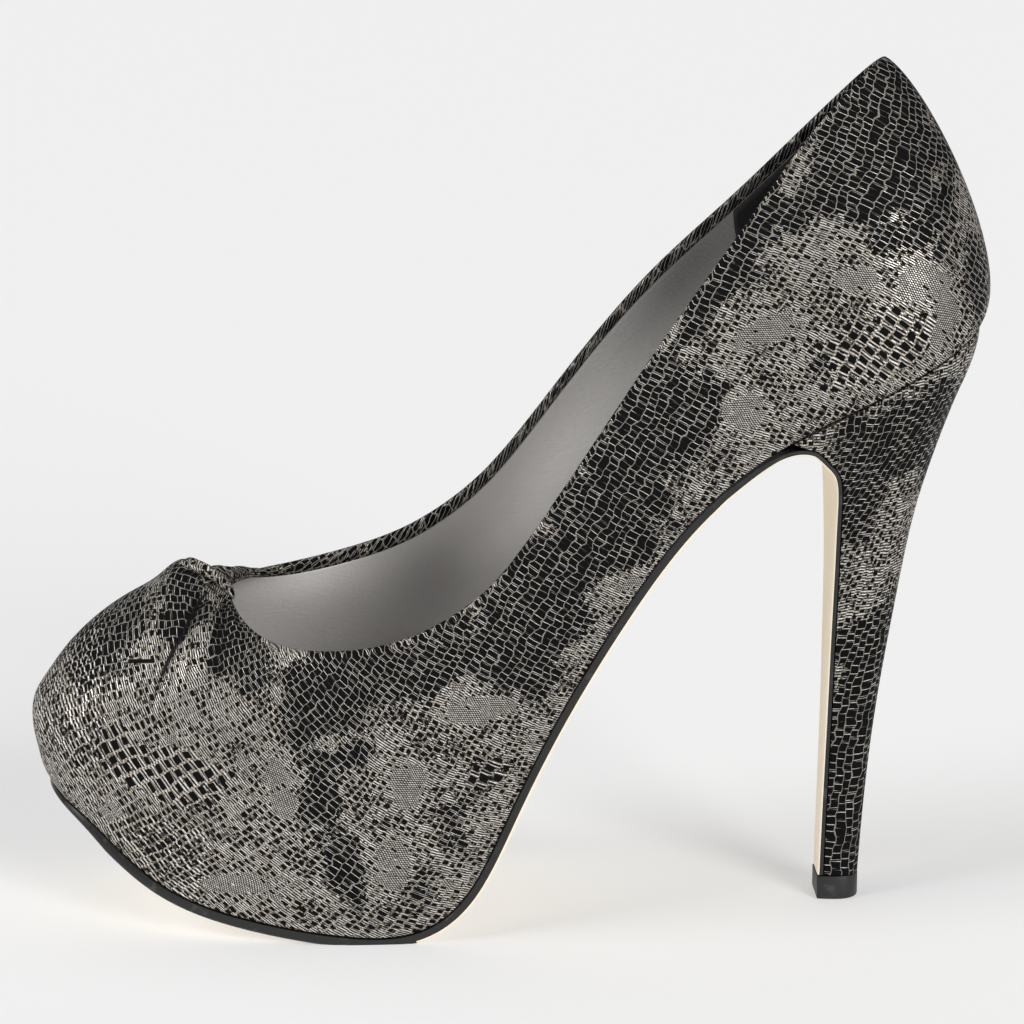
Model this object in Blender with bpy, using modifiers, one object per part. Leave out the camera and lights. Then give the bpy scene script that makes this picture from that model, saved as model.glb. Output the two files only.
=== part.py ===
"""Left platform pump: fabric upper round a platform, leather outsole, tall covered heel, throat knot.

Tables are in millimetres. +Z is up, the toe points to -X and the outer (lateral) side of the foot is -Y.
The origin is on the floor, at the middle of the shoe's length and width.
"""
import math
from collections import namedtuple

import bmesh
import bpy
import numpy as np

MM = 0.001

# Driving sizes, millimetres
WALL = 1.8              # upper: fabric, stiffener and lining together
GAP = 0.3               # clearance between pieces that meet
INSOLE_THICK = 2.2
CORE_CLEAR = 0.5        # platform and insole to the upper, all round
SOLE_BEVEL = 0.67       # how far the outsole's lower edge is drawn in, as a share of its thickness
SOLE_SHOULDER = 0.45    # share of the outsole's thickness where the bevel starts
SHOULDER_RISE = 0.3     # least height of that shoulder above the floor
TIP_HEIGHT = 5.6        # rubber top piece under the heel
KNOT_EDGE = 0.6         # thickness of the knot's fabric where it thins out
KNOT_GROOVE = 0.4       # share of the knot's height lost in the fold along its middle
KNOT_GROOVE_HALF = 0.22     # half width of that fold, as a share of the knot's half width
SHARP_DEG = 40.0        # edges that bend more than this stay crisp

# How finely the surfaces are cut
STEPS_PER_RIB = 3
WALL_ROWS = 13
ACROSS = 5
RIB_SAMPLES = 121       # points tried along a rib to find where it crosses the foot bed
PROFILE_STEPS = 400     # points along the sole's and the foot bed's profile
HEEL_SIDE_STEPS = 4
HEEL_BACK_STEPS = 9
HEEL_RING_STEPS = 2
KNOT_ACROSS = 11
KNOT_RING_STEPS = 2

# Last: a row for each rib of the upper, from the tip of the toe round one side to the back of the heel.
# The foot of a rib stands on the sole edge, its top is on the collar, and lateral and medial are the
# distances to either side of the middle. bed is the height of the foot bed above the floor.
Foot = namedtuple("Foot", "x z lateral medial bed")
FEET = (
    Foot(-106.8, 31.4, -1.5, 1.5, 45.0),
    Foot(-103.3, 29.5, 11.0, 13.6, 44.4),
    Foot(-95.5, 24.2, 18.4, 21.6, 42.8),
    Foot(-81.0, 12.8, 25.6, 29.3, 40.0),
    Foot(-60.5, 5.6, 30.8, 34.2, 37.8),
    Foot(-38.0, 1.9, 33.0, 35.2, 37.2),
    Foot(-22.0, 2.7, 32.6, 33.6, 39.4),
    Foot(-10.0, 11.9, 31.5, 31.2, 43.6),
    Foot(0.0, 31.5, 30.2, 29.0, 49.0),
    Foot(11.5, 54.0, 28.5, 26.4, 58.6),
    Foot(26.0, 77.4, 26.2, 24.4, 77.4),
    Foot(43.0, 99.1, 24.3, 23.4, 99.1),
    Foot(64.0, 115.4, 24.3, 24.1, 115.4),
    Foot(85.0, 126.7, 26.5, 26.5, 126.7),
    Foot(100.0, 134.75, 21.6, 21.6, 134.75),
    Foot(107.0, 138.5, 11.9, 11.9, 138.5),
    Foot(109.2, 139.7, 0.0, 0.0, 139.7),
)
Collar = namedtuple("Collar", "x lateral medial lateral_z medial_z")
COLLARS = (
    Collar(-64.5, -0.5, 0.5, 76.5, 76.5),
    Collar(-63.9, 5.0, 5.5, 75.2, 76.9),
    Collar(-61.8, 11.5, 12.0, 72.8, 76.8),
    Collar(-57.0, 19.5, 20.0, 70.2, 76.3),
    Collar(-48.0, 27.3, 27.6, 68.9, 76.2),
    Collar(-35.0, 32.0, 32.2, 69.9, 78.3),
    Collar(-23.0, 33.4, 33.2, 73.2, 82.5),
    Collar(-12.5, 33.2, 32.8, 78.6, 89.0),
    Collar(-3.0, 32.2, 31.8, 86.6, 97.6),
    Collar(7.5, 30.3, 30.2, 100.4, 110.8),
    Collar(21.0, 27.3, 27.3, 119.9, 129.2),
    Collar(36.0, 23.3, 23.3, 141.4, 147.4),
    Collar(52.0, 18.8, 18.8, 163.0, 163.6),
    Collar(66.0, 14.3, 14.3, 181.8, 178.4),
    Collar(77.0, 10.0, 10.0, 193.5, 190.2),
    Collar(84.0, 5.2, 5.2, 199.2, 197.6),
    Collar(86.3, 0.0, 0.0, 200.2, 200.2),
)
# Handles of each rib's curve: how far it swells out and climbs from the foot, and how far it swells
# out and falls from the collar.
Swell = namedtuple("Swell", "low_out low_up high_out high_down")
SWELLS = (
    Swell(18.3, 23.6, 14.1, -13.3),
    Swell(16.8, 23.8, 14.3, -10.5),
    Swell(13.4, 24.0, 14.0, -4.5),
    Swell(9.5, 24.0, 12.0, 4.0),
    Swell(7.2, 25.0, 9.0, 12.0),
    Swell(6.0, 25.0, 7.0, 18.0),
    Swell(5.4, 24.0, 6.0, 20.0),
    Swell(4.8, 22.0, 5.0, 20.0),
    Swell(4.2, 18.0, 4.0, 18.0),
    Swell(3.6, 15.0, 3.5, 16.0),
    Swell(3.2, 14.0, 3.2, 15.0),
    Swell(3.2, 14.0, 3.6, 16.0),
    Swell(4.0, 14.5, 5.0, 17.0),
    Swell(5.2, 14.0, 7.0, 16.0),
    Swell(7.0, 12.5, 9.0, 12.0),
    Swell(8.6, 10.8, 10.2, 8.0),
    Swell(9.2, 10.1, 10.5, 6.2),
)
# Heel: a row for each section, from the seat down to the top piece. Each section runs from the breast
# (front) to the back, and is flat in front and round behind.
Section = namedtuple("Section", "front_x front_z back_x back_z front_half most_half")
HEEL_SECTIONS = (
    Section(64.3, 115.25, 109.2, 139.35, 24.3, 26.5),
    Section(67.2, 114.0, 109.0, 136.8, 23.6, 25.9),
    Section(70.2, 112.7, 108.3, 133.6, 22.0, 24.9),
    Section(73.4, 109.5, 106.8, 129.2, 19.6, 22.9),
    Section(75.9, 106.0, 104.9, 124.8, 17.4, 20.9),
    Section(76.8, 100.5, 102.0, 117.0, 15.4, 18.2),
    Section(76.9, 93.0, 98.5, 106.4, 13.0, 15.4),
    Section(76.9, 82.0, 94.6, 92.0, 10.4, 12.5),
    Section(76.6, 66.0, 91.0, 72.0, 8.2, 9.9),
    Section(76.2, 46.0, 87.3, 48.5, 6.5, 7.8),
    Section(75.6, 25.0, 84.8, 25.5, 5.4, 6.3),
    Section(75.1, 5.9, 83.45, 5.9, 4.8, 5.3),
)
# Knot: a row for each fold, from the top of the vamp to the throat. v is the share of the rib's length,
# near and far are the ribs between which the knot lies, and rise is its height over the vamp.
Fold = namedtuple("Fold", "v near far rise")
KNOT_FOLDS = (
    Fold(0.73, 0.10, -1.10, 0.3),
    Fold(0.79, 0.30, -1.40, 1.9),
    Fold(0.85, 0.60, -1.50, 2.3),
    Fold(0.91, 0.90, -1.50, 1.7),
    Fold(0.96, 1.10, -1.50, 1.9),
    Fold(1.00, 1.15, -1.40, 1.0),
)
# Outsole thickness along the shoe, evenly changing between rows and down the heel breast.
Edge = namedtuple("Edge", "x thick")
SOLE_EDGES = (
    Edge(-106.0, 1.0),
    Edge(-92.0, 2.4),
    Edge(45.0, 2.4),
    Edge(64.0, 1.3),
)
HEEL_WIDEST_AT = 0.46       # share of a section's length, from the breast, where it is widest
HEEL_ROUND = 2.35           # fullness of the round back
TIP_FRONT = 73.35
TIP_BACK = 83.5
TIP_FLARE = 0.25            # the rubber spreads this much towards the floor
FLAP_JOIN = 11.9            # rib number where the outsole leaves the upper for the heel breast
FLAP_FIRST_ROW = 2          # first heel ring that the outsole then follows
TOE_START = 1.0 / STEPS_PER_RIB
SEAT_END = len(FEET) - 1 - TOE_START
PLATFORM_END = 9.0 + TOE_START   # rib number where the platform thins out under the arch

RIBS_ROUND = 2 * (len(FEET) - 1)
LEAST_LEAN = 0.2            # keeps level offsets short where the wall curls over


def closed_spline(lateral, medial):
    """Smooth periodic curve through the lateral values toe to heel and the medial values heel to toe."""
    values = np.array(list(lateral) + list(medial)[-2:0:-1], float)
    count = len(values)
    system = np.zeros((count, count))
    for row in range(count):
        system[row, row] = 4.0
        system[row, (row - 1) % count] = 1.0
        system[row, (row + 1) % count] = 1.0
    bend = np.linalg.solve(system, 6.0 * (np.roll(values, 1) - 2.0 * values + np.roll(values, -1)))

    def curve(t):
        t = np.asarray(t, float) % count
        left = np.floor(t).astype(int) % count
        right = (left + 1) % count
        b = t - np.floor(t)
        a = 1.0 - b
        chord = a * values[left] + b * values[right]
        return chord + ((a ** 3 - a) * bend[left] + (b ** 3 - b) * bend[right]) / 6.0

    return curve


def both_sides(column):
    return closed_spline(column, column)


FOOT_CURVES = (
    both_sides([f.x for f in FEET]),
    closed_spline([-f.lateral for f in FEET], [f.medial for f in FEET]),
    both_sides([f.z for f in FEET]),
)
COLLAR_CURVES = (
    both_sides([c.x for c in COLLARS]),
    closed_spline([-c.lateral for c in COLLARS], [c.medial for c in COLLARS]),
    closed_spline([c.lateral_z for c in COLLARS], [c.medial_z for c in COLLARS]),
)
SWELL_CURVES = {name: both_sides([getattr(s, name) for s in SWELLS]) for name in Swell._fields}
BED_CURVE = both_sides([f.bed for f in FEET])


def at(curves, t):
    return np.stack([curve(t) for curve in curves], axis=-1)


def plan_normal(t):
    """Level direction out of the sole's outline."""
    step = 0.01
    along = at(FOOT_CURVES, t + step) - at(FOOT_CURVES, t - step)
    out = np.stack([along[..., 1], -along[..., 0], np.zeros(along.shape[:-1])], axis=-1)
    return out / np.linalg.norm(out, axis=-1, keepdims=True)


def wall(t, v):
    """Outer face of the upper: t counts ribs round the shoe, v runs from the sole edge to the collar."""
    t, v = np.broadcast_arrays(np.asarray(t, float), np.asarray(v, float))
    up = np.array([0.0, 0.0, 1.0])
    out = plan_normal(t)
    foot = at(FOOT_CURVES, t)
    top = at(COLLAR_CURVES, t)
    swell = {name: curve(t)[..., None] for name, curve in SWELL_CURVES.items()}
    low = foot + out * swell["low_out"] + up * swell["low_up"]
    high = top + out * swell["high_out"] - up * swell["high_down"]
    v = v[..., None]
    w = 1.0 - v
    return w ** 3 * foot + 3.0 * w * w * v * low + 3.0 * w * v * v * high + v ** 3 * top


def wall_normal(t, v):
    step = 0.004
    along = wall(t + step, v) - wall(t - step, v)
    climb = wall(t, np.minimum(v + step, 1.0)) - wall(t, np.maximum(v - step, 0.0))
    out = np.cross(along, climb)
    return out / np.linalg.norm(out, axis=-1, keepdims=True)


def inside_level(t, v, depth):
    """Point level with one on the upper's outer face, the given depth inside that face."""
    out = plan_normal(t)
    lean = np.sum(out * wall_normal(t, v), axis=-1, keepdims=True)
    return wall(t, v) - out * depth / np.maximum(lean, LEAST_LEAN)


HALF_RIBS = np.linspace(0.0, len(FEET) - 1, PROFILE_STEPS)
PROFILE_X = FOOT_CURVES[0](HALF_RIBS)
SOLE_PROFILE = FOOT_CURVES[2](HALF_RIBS)
BED_PROFILE = np.maximum(BED_CURVE(HALF_RIBS), SOLE_PROFILE)


def sole_height(x):
    """Height of the line on which the upper stands."""
    return np.interp(x, PROFILE_X, SOLE_PROFILE)


def bed_height(x):
    """Height of the insole's underside."""
    return np.interp(x, PROFILE_X, BED_PROFILE)


def rib_at_height(t, depth, lift):
    """Share of a rib's length at which it crosses the foot bed raised by lift."""
    v = np.linspace(0.0, 1.0, RIB_SAMPLES)
    points = inside_level(np.full(v.shape, t), v, depth)
    above = points[:, 2] - bed_height(points[:, 0]) - lift
    crossing = np.argmax(above >= 0.0)
    if crossing == 0:
        return 0.0
    span = above[crossing] - above[crossing - 1]
    return v[crossing] - (v[1] - v[0]) * above[crossing] / span


def rib_numbers(start, end):
    count = int(round((end - start) * STEPS_PER_RIB)) + 1
    return np.linspace(start, end, count)


def across(first, last, height):
    """Points between two edge points, on a surface whose height follows the shoe's length."""
    share = np.linspace(0.0, 1.0, ACROSS + 2)[1:-1, None]
    row = first * (1.0 - share) + last * share
    row[:, 2] = height(row[:, 0])
    return row


def natural_spline(values, steps):
    """Smooth open curve through rows of numbers, with the given number of steps between two rows."""
    values = np.asarray(values, float)
    count = len(values)
    system = np.eye(count)
    right = np.zeros_like(values)
    for row in range(1, count - 1):
        system[row, row - 1:row + 2] = (1.0, 4.0, 1.0)
        right[row] = 6.0 * (values[row - 1] - 2.0 * values[row] + values[row + 1])
    bend = np.linalg.solve(system, right)
    t = np.linspace(0.0, count - 1, (count - 1) * steps + 1)
    left = np.minimum(t.astype(int), count - 2)
    b = (t - left)[:, None]
    a = 1.0 - b
    curve = a * values[left] + b * values[left + 1]
    return curve + ((a ** 3 - a) * bend[left] + (b ** 3 - b) * bend[left + 1]) / 6.0


def make_material(name, colour, roughness, metallic=0.0):
    material = bpy.data.materials.new(name)
    material.use_nodes = True
    shader = material.node_tree.nodes["Principled BSDF"]
    shader.inputs["Base Color"].default_value = (*colour, 1.0)
    shader.inputs["Roughness"].default_value = roughness
    shader.inputs["Metallic"].default_value = metallic
    return material


def add_piece(name, bm, material):
    """Turn a bmesh in millimetres into a smooth-shaded object in the shoe's collection."""
    bmesh.ops.recalc_face_normals(bm, faces=bm.faces)
    bmesh.ops.scale(bm, vec=(MM, MM, MM), verts=bm.verts)
    mesh = bpy.data.meshes.new(name)
    bm.to_mesh(mesh)
    bm.free()
    mesh.shade_smooth()
    mesh.set_sharp_from_angle(angle=math.radians(SHARP_DEG))
    mesh.materials.append(material)
    piece = bpy.data.objects.new(name, mesh)
    SHOE.objects.link(piece)
    return piece


def skin(bm, rows, closed):
    """Quads between neighbouring rows of points. Returns the rows of vertices."""
    verts = [[bm.verts.new(point) for point in row] for row in rows]
    width = len(verts[0])
    for lower, upper in zip(verts, verts[1:]):
        for k in range(width if closed else width - 1):
            n = (k + 1) % width
            bm.faces.new((lower[k], lower[n], upper[n], upper[k]))
    return verts


def loft(rings):
    """Closed solid through closed rings, with flat ends."""
    bm = bmesh.new()
    verts = skin(bm, rings, closed=True)
    bm.faces.new(verts[0])
    bm.faces.new(verts[-1])
    return bm


def make_upper(material):
    t = np.arange(RIBS_ROUND * STEPS_PER_RIB) / STEPS_PER_RIB
    bm = bmesh.new()
    skin(bm, [wall(t, v) for v in np.linspace(0.0, 1.0, WALL_ROWS + 1)], closed=True)
    upper = add_piece("upper", bm, material)
    shell = upper.modifiers.new("wall", "SOLIDIFY")
    shell.thickness = WALL * MM
    shell.offset = -1.0
    shell.use_even_offset = True


def make_platform(material):
    """Block between the outsole and the foot bed, inside the upper."""
    depth = WALL + CORE_CLEAR
    rings = []
    for t in rib_numbers(TOE_START, PLATFORM_END):
        sides = []
        for rib in (t, RIBS_ROUND - t):
            v = np.linspace(0.0, rib_at_height(rib, depth, -GAP), ACROSS)
            side = inside_level(np.full(v.shape, rib), v, depth)
            side = np.concatenate([side[:1], side])
            side[0, 2] = sole_height(side[0, 0]) - GAP / 2.0
            side[-1, 2] = bed_height(side[-1, 0]) - GAP
            sides.append(side)
        lateral, medial = sides
        top = across(lateral[-1], medial[-1], lambda x: bed_height(x) - GAP)
        bottom = across(medial[0], lateral[0], lambda x: sole_height(x) - GAP / 2.0)
        rings.append(np.concatenate([lateral, top, medial[::-1], bottom]))
    add_piece("platform", loft(rings), material)


def make_insole(material):
    """Foot bed from toe to heel seat, just inside the upper's wall."""
    depth = WALL + CORE_CLEAR
    rings = []
    for t in rib_numbers(TOE_START, SEAT_END):
        edges = []
        for rib in (t, RIBS_ROUND - t):
            low = inside_level(rib, rib_at_height(rib, depth, 0.0), depth)
            high = inside_level(rib, rib_at_height(rib, depth, INSOLE_THICK), depth)
            low[2] = bed_height(low[0])
            high[2] = bed_height(high[0]) + INSOLE_THICK
            edges.append((low, high))
        (low_lat, high_lat), (low_med, high_med) = edges
        top = across(high_lat, high_med, lambda x: bed_height(x) + INSOLE_THICK)
        bottom = across(low_med, low_lat, bed_height)
        rings.append(np.concatenate([[low_lat, high_lat], top, [high_med, low_med], bottom]))
    add_piece("insole", loft(rings), material)


def heel_rows():
    rows = natural_spline([list(section) for section in HEEL_SECTIONS], HEEL_RING_STEPS)
    return [Section(*row) for row in rows]


def heel_ring(front, back, front_half, most_half):
    """Outline of a heel section: flat breast, sides that swell a little, round back."""
    swell = np.linspace(0.0, HEEL_WIDEST_AT, HEEL_SIDE_STEPS)
    turn = np.linspace(0.0, math.pi / 2.0, HEEL_BACK_STEPS)[1:]
    half = front_half + (most_half - front_half) * np.sin(math.pi / 2.0 * swell / HEEL_WIDEST_AT)
    back_share = np.sin(turn) ** (2.0 / HEEL_ROUND)
    share = np.concatenate([swell, HEEL_WIDEST_AT + (1.0 - HEEL_WIDEST_AT) * back_share])
    half = np.concatenate([half, most_half * np.cos(turn)])
    share = np.concatenate([share, share[-2::-1]])
    half = np.concatenate([-half, half[-2::-1]])
    line = np.outer(1.0 - share, front) + np.outer(share, back)
    line[:, 1] = half
    return line


def make_heel(material):
    rings = []
    for row in heel_rows():
        front = np.array([row.front_x, 0.0, row.front_z])
        back = np.array([row.back_x, 0.0, row.back_z])
        rings.append(heel_ring(front, back, row.front_half, row.most_half))
    add_piece("heel", loft(rings), material)


def make_heel_tip(material):
    last = HEEL_SECTIONS[-1]
    rings = []
    for z, flare in ((0.0, TIP_FLARE), (TIP_HEIGHT / 2.0, TIP_FLARE / 2.0), (TIP_HEIGHT, 0.0)):
        front = np.array([TIP_FRONT, 0.0, z])
        back = np.array([TIP_BACK, 0.0, z])
        rings.append(heel_ring(front, back, last.front_half + flare, last.most_half + flare))
    add_piece("heel_tip", loft(rings), material)


def make_outsole(material):
    """Leather sheet under the platform and the arch, bent over the heel breast down to the top piece."""
    ribs = rib_numbers(TOE_START, FLAP_JOIN)
    sole = np.stack([
        FOOT_CURVES[0](ribs),
        FOOT_CURVES[2](ribs),
        FOOT_CURVES[1](ribs),
        FOOT_CURVES[1](RIBS_ROUND - ribs),
    ], axis=1)
    flap_rows = heel_rows()[FLAP_FIRST_ROW:]
    flap = np.array([[h.front_x, h.front_z, -h.front_half, h.front_half] for h in flap_rows])
    path = np.concatenate([sole, flap])
    along = np.gradient(path[:, :2], axis=0)
    along /= np.linalg.norm(along, axis=1, keepdims=True)
    down = np.stack([along[:, 1], -along[:, 0]], axis=1)
    down[-1] = (-1.0, 0.0)
    reach = np.concatenate([[0.0], np.cumsum(np.linalg.norm(np.diff(path[:, :2], axis=0), axis=1))])
    stations = np.interp([edge.x for edge in SOLE_EDGES], sole[:, 0], reach[:len(sole)])
    thick = np.interp(reach, stations, [edge.thick for edge in SOLE_EDGES])
    share = np.linspace(0.0, 1.0, ACROSS)
    rings = []
    for (x, z, lateral, medial), (dx, dz), edge in zip(path, down, thick):
        bevel = SOLE_BEVEL * edge
        top_y = lateral + (medial - lateral) * share
        bottom_y = medial - bevel - (medial - lateral - 2.0 * bevel) * share
        bottom_at = GAP + edge
        shoulder_at = GAP + SOLE_SHOULDER * edge
        shoulder_x = x + dx * shoulder_at
        shoulder_z = max(SHOULDER_RISE, z + dz * shoulder_at)
        top = [(x + dx * GAP, y, z + dz * GAP) for y in top_y]
        bottom = [(x + dx * bottom_at, y, max(0.0, z + dz * bottom_at)) for y in bottom_y]
        medial_side = [(shoulder_x, medial, shoulder_z)]
        lateral_side = [(shoulder_x, lateral, shoulder_z)]
        rings.append(top + medial_side + bottom + lateral_side)
    add_piece("outsole", loft(rings), material)


def make_knot(material):
    """Twisted fabric knot on the throat, between two layers set off from the vamp."""
    side = np.linspace(-1.0, 1.0, KNOT_ACROSS)
    dome = np.sqrt(1.0 - side ** 4) * (1.0 - KNOT_GROOVE * np.exp(-(side / KNOT_GROOVE_HALF) ** 2))
    rings = []
    for v, near, far, rise in natural_spline(KNOT_FOLDS, KNOT_RING_STEPS):
        t = 0.5 * (near + far) - 0.5 * (near - far) * side
        v = np.full(t.shape, min(v, 1.0))
        vamp = wall(t, v)
        out = wall_normal(t, v)
        under = vamp + out * GAP
        over = vamp + out * (GAP + KNOT_EDGE + rise * dome)[:, None]
        rings.append(np.concatenate([over, under[::-1]]))
    add_piece("knot", loft(rings), material)


for old in list(bpy.data.objects):
    bpy.data.objects.remove(old)
SHOE = bpy.data.collections.new("platform_pump")
bpy.context.scene.collection.children.link(SHOE)

make_upper(make_material("patterned_fabric", (0.17, 0.165, 0.15), 0.55, 0.2))
make_platform(make_material("platform_core", (0.42, 0.36, 0.28), 0.85))
make_insole(make_material("lining_leather", (0.30, 0.28, 0.275), 0.38, 0.1))
make_outsole(make_material("sole_leather", (0.62, 0.49, 0.34), 0.5))
make_heel(make_material("heel_fabric", (0.15, 0.145, 0.13), 0.55, 0.2))
make_heel_tip(make_material("tip_rubber", (0.012, 0.012, 0.013), 0.45))
make_knot(make_material("knot_fabric", (0.17, 0.165, 0.15), 0.55, 0.2))
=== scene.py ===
import itertools
import math
from collections import namedtuple

import bpy
import numpy as np
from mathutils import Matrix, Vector


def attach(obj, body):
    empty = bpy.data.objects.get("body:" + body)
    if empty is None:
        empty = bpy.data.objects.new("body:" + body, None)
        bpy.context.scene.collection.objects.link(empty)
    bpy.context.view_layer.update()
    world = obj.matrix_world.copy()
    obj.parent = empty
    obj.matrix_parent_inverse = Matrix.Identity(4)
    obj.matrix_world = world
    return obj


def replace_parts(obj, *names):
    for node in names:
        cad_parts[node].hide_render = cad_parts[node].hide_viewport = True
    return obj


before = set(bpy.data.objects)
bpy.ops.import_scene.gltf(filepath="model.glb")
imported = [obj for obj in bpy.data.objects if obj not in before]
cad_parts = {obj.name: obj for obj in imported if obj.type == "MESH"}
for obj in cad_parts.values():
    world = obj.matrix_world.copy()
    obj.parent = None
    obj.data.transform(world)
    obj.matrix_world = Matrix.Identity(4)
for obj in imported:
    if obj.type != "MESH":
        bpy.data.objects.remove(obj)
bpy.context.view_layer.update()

# Sizes are in millimetres in the tables, in the same frame as the part: toe to -X, heel to +X,
# outer side of the foot to -Y, floor at z = 0.
MM = 0.001
UV_MM = 100.0               # one unit of the weave's map is this many millimetres
TURN = 2.0 * math.pi

# The last, as in the part's source: a row for each rib from the tip of the toe to the back of the heel.
Foot = namedtuple("Foot", "x z lateral medial bed")
FEET = [Foot(*row) for row in (
    (-106.8, 31.4, -1.5, 1.5, 45.0),
    (-103.3, 29.5, 11.0, 13.6, 44.4),
    (-95.5, 24.2, 18.4, 21.6, 42.8),
    (-81.0, 12.8, 25.6, 29.3, 40.0),
    (-60.5, 5.6, 30.8, 34.2, 37.8),
    (-38.0, 1.9, 33.0, 35.2, 37.2),
    (-22.0, 2.7, 32.6, 33.6, 39.4),
    (-10.0, 11.9, 31.5, 31.2, 43.6),
    (0.0, 31.5, 30.2, 29.0, 49.0),
    (11.5, 54.0, 28.5, 26.4, 58.6),
    (26.0, 77.4, 26.2, 24.4, 77.4),
    (43.0, 99.1, 24.3, 23.4, 99.1),
    (64.0, 115.4, 24.3, 24.1, 115.4),
    (85.0, 126.7, 26.5, 26.5, 126.7),
    (100.0, 134.75, 21.6, 21.6, 134.75),
    (107.0, 138.5, 11.9, 11.9, 138.5),
    (109.2, 139.7, 0.0, 0.0, 139.7),
)]
Collar = namedtuple("Collar", "x lateral medial lateral_z medial_z")
COLLARS = [Collar(*row) for row in (
    (-64.5, -0.5, 0.5, 76.5, 76.5),
    (-63.9, 5.0, 5.5, 75.2, 76.9),
    (-61.8, 11.5, 12.0, 72.8, 76.8),
    (-57.0, 19.5, 20.0, 70.2, 76.3),
    (-48.0, 27.3, 27.6, 68.9, 76.2),
    (-35.0, 32.0, 32.2, 69.9, 78.3),
    (-23.0, 33.4, 33.2, 73.2, 82.5),
    (-12.5, 33.2, 32.8, 78.6, 89.0),
    (-3.0, 32.2, 31.8, 86.6, 97.6),
    (7.5, 30.3, 30.2, 100.4, 110.8),
    (21.0, 27.3, 27.3, 119.9, 129.2),
    (36.0, 23.3, 23.3, 141.4, 147.4),
    (52.0, 18.8, 18.8, 163.0, 163.6),
    (66.0, 14.3, 14.3, 181.8, 178.4),
    (77.0, 10.0, 10.0, 193.5, 190.2),
    (84.0, 5.2, 5.2, 199.2, 197.6),
    (86.3, 0.0, 0.0, 200.2, 200.2),
)]
Swell = namedtuple("Swell", "low_out low_up high_out high_down")
SWELLS = [Swell(*row) for row in (
    (18.3, 23.6, 14.1, -13.3),
    (16.8, 23.8, 14.3, -10.5),
    (13.4, 24.0, 14.0, -4.5),
    (9.5, 24.0, 12.0, 4.0),
    (7.2, 25.0, 9.0, 12.0),
    (6.0, 25.0, 7.0, 18.0),
    (5.4, 24.0, 6.0, 20.0),
    (4.8, 22.0, 5.0, 20.0),
    (4.2, 18.0, 4.0, 18.0),
    (3.6, 15.0, 3.5, 16.0),
    (3.2, 14.0, 3.2, 15.0),
    (3.2, 14.0, 3.6, 16.0),
    (4.0, 14.5, 5.0, 17.0),
    (5.2, 14.0, 7.0, 16.0),
    (7.0, 12.5, 9.0, 12.0),
    (8.6, 10.8, 10.2, 8.0),
    (9.2, 10.1, 10.5, 6.2),
)]
Section = namedtuple("Section", "front_x front_z back_x back_z front_half most_half")
HEEL_SECTIONS = [Section(*row) for row in (
    (64.3, 115.25, 109.2, 139.35, 24.3, 26.5),
    (67.2, 114.0, 109.0, 136.8, 23.6, 25.9),
    (70.2, 112.7, 108.3, 133.6, 22.0, 24.9),
    (73.4, 109.5, 106.8, 129.2, 19.6, 22.9),
    (75.9, 106.0, 104.9, 124.8, 17.4, 20.9),
    (76.8, 100.5, 102.0, 117.0, 15.4, 18.2),
    (76.9, 93.0, 98.5, 106.4, 13.0, 15.4),
    (76.9, 82.0, 94.6, 92.0, 10.4, 12.5),
    (76.6, 66.0, 91.0, 72.0, 8.2, 9.9),
    (76.2, 46.0, 87.3, 48.5, 6.5, 7.8),
    (75.6, 25.0, 84.8, 25.5, 5.4, 6.3),
    (75.1, 5.9, 83.45, 5.9, 4.8, 5.3),
)]
SOLE_EDGE_X = (-106.0, -92.0, 45.0, 64.0)
SOLE_EDGE_THICK = (1.0, 2.4, 2.4, 1.3)
GAP = 0.3
INSOLE_THICK = 2.2
HEEL_WIDEST_AT = 0.46
HEEL_ROUND = 2.35
FLAP_JOIN = 11.9
FLAP_FIRST_ROW = 2
TIP_FRONT = 73.35
TIP_BACK = 83.5
TIP_HEIGHT = 5.6
TIP_FLARE = 0.25
RIBS = len(FEET) - 1
RIBS_ROUND = 2 * RIBS

# Layers of the upper, measured inwards from its outer face
FABRIC = 0.95
LINING_OUT = 1.0
LINING_IN = 1.75
BAND_DEPTH = 1.85           # the fabric folded over the collar stands proud of the lining
COLLAR_ROUND = 0.9
ROLL_SINK = 0.35            # share of the roll's radius that its middle lies under the collar's edge
BAND_WIDTH = 2.0
UNDER_BAND = COLLAR_ROUND + BAND_WIDTH + 0.1
FOOT_ROUND = 0.5
DEEPEST = 0.85              # creases stay within the layer of fabric

# How finely the surfaces are cut
COLUMNS = 640
LOW_ROWS = 30               # below the folds
HIGH_ROWS = 78              # where the folds are
CLOSE_FROM = 0.45
LINING_COLUMNS = 320
LINING_ROWS = 40

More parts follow.
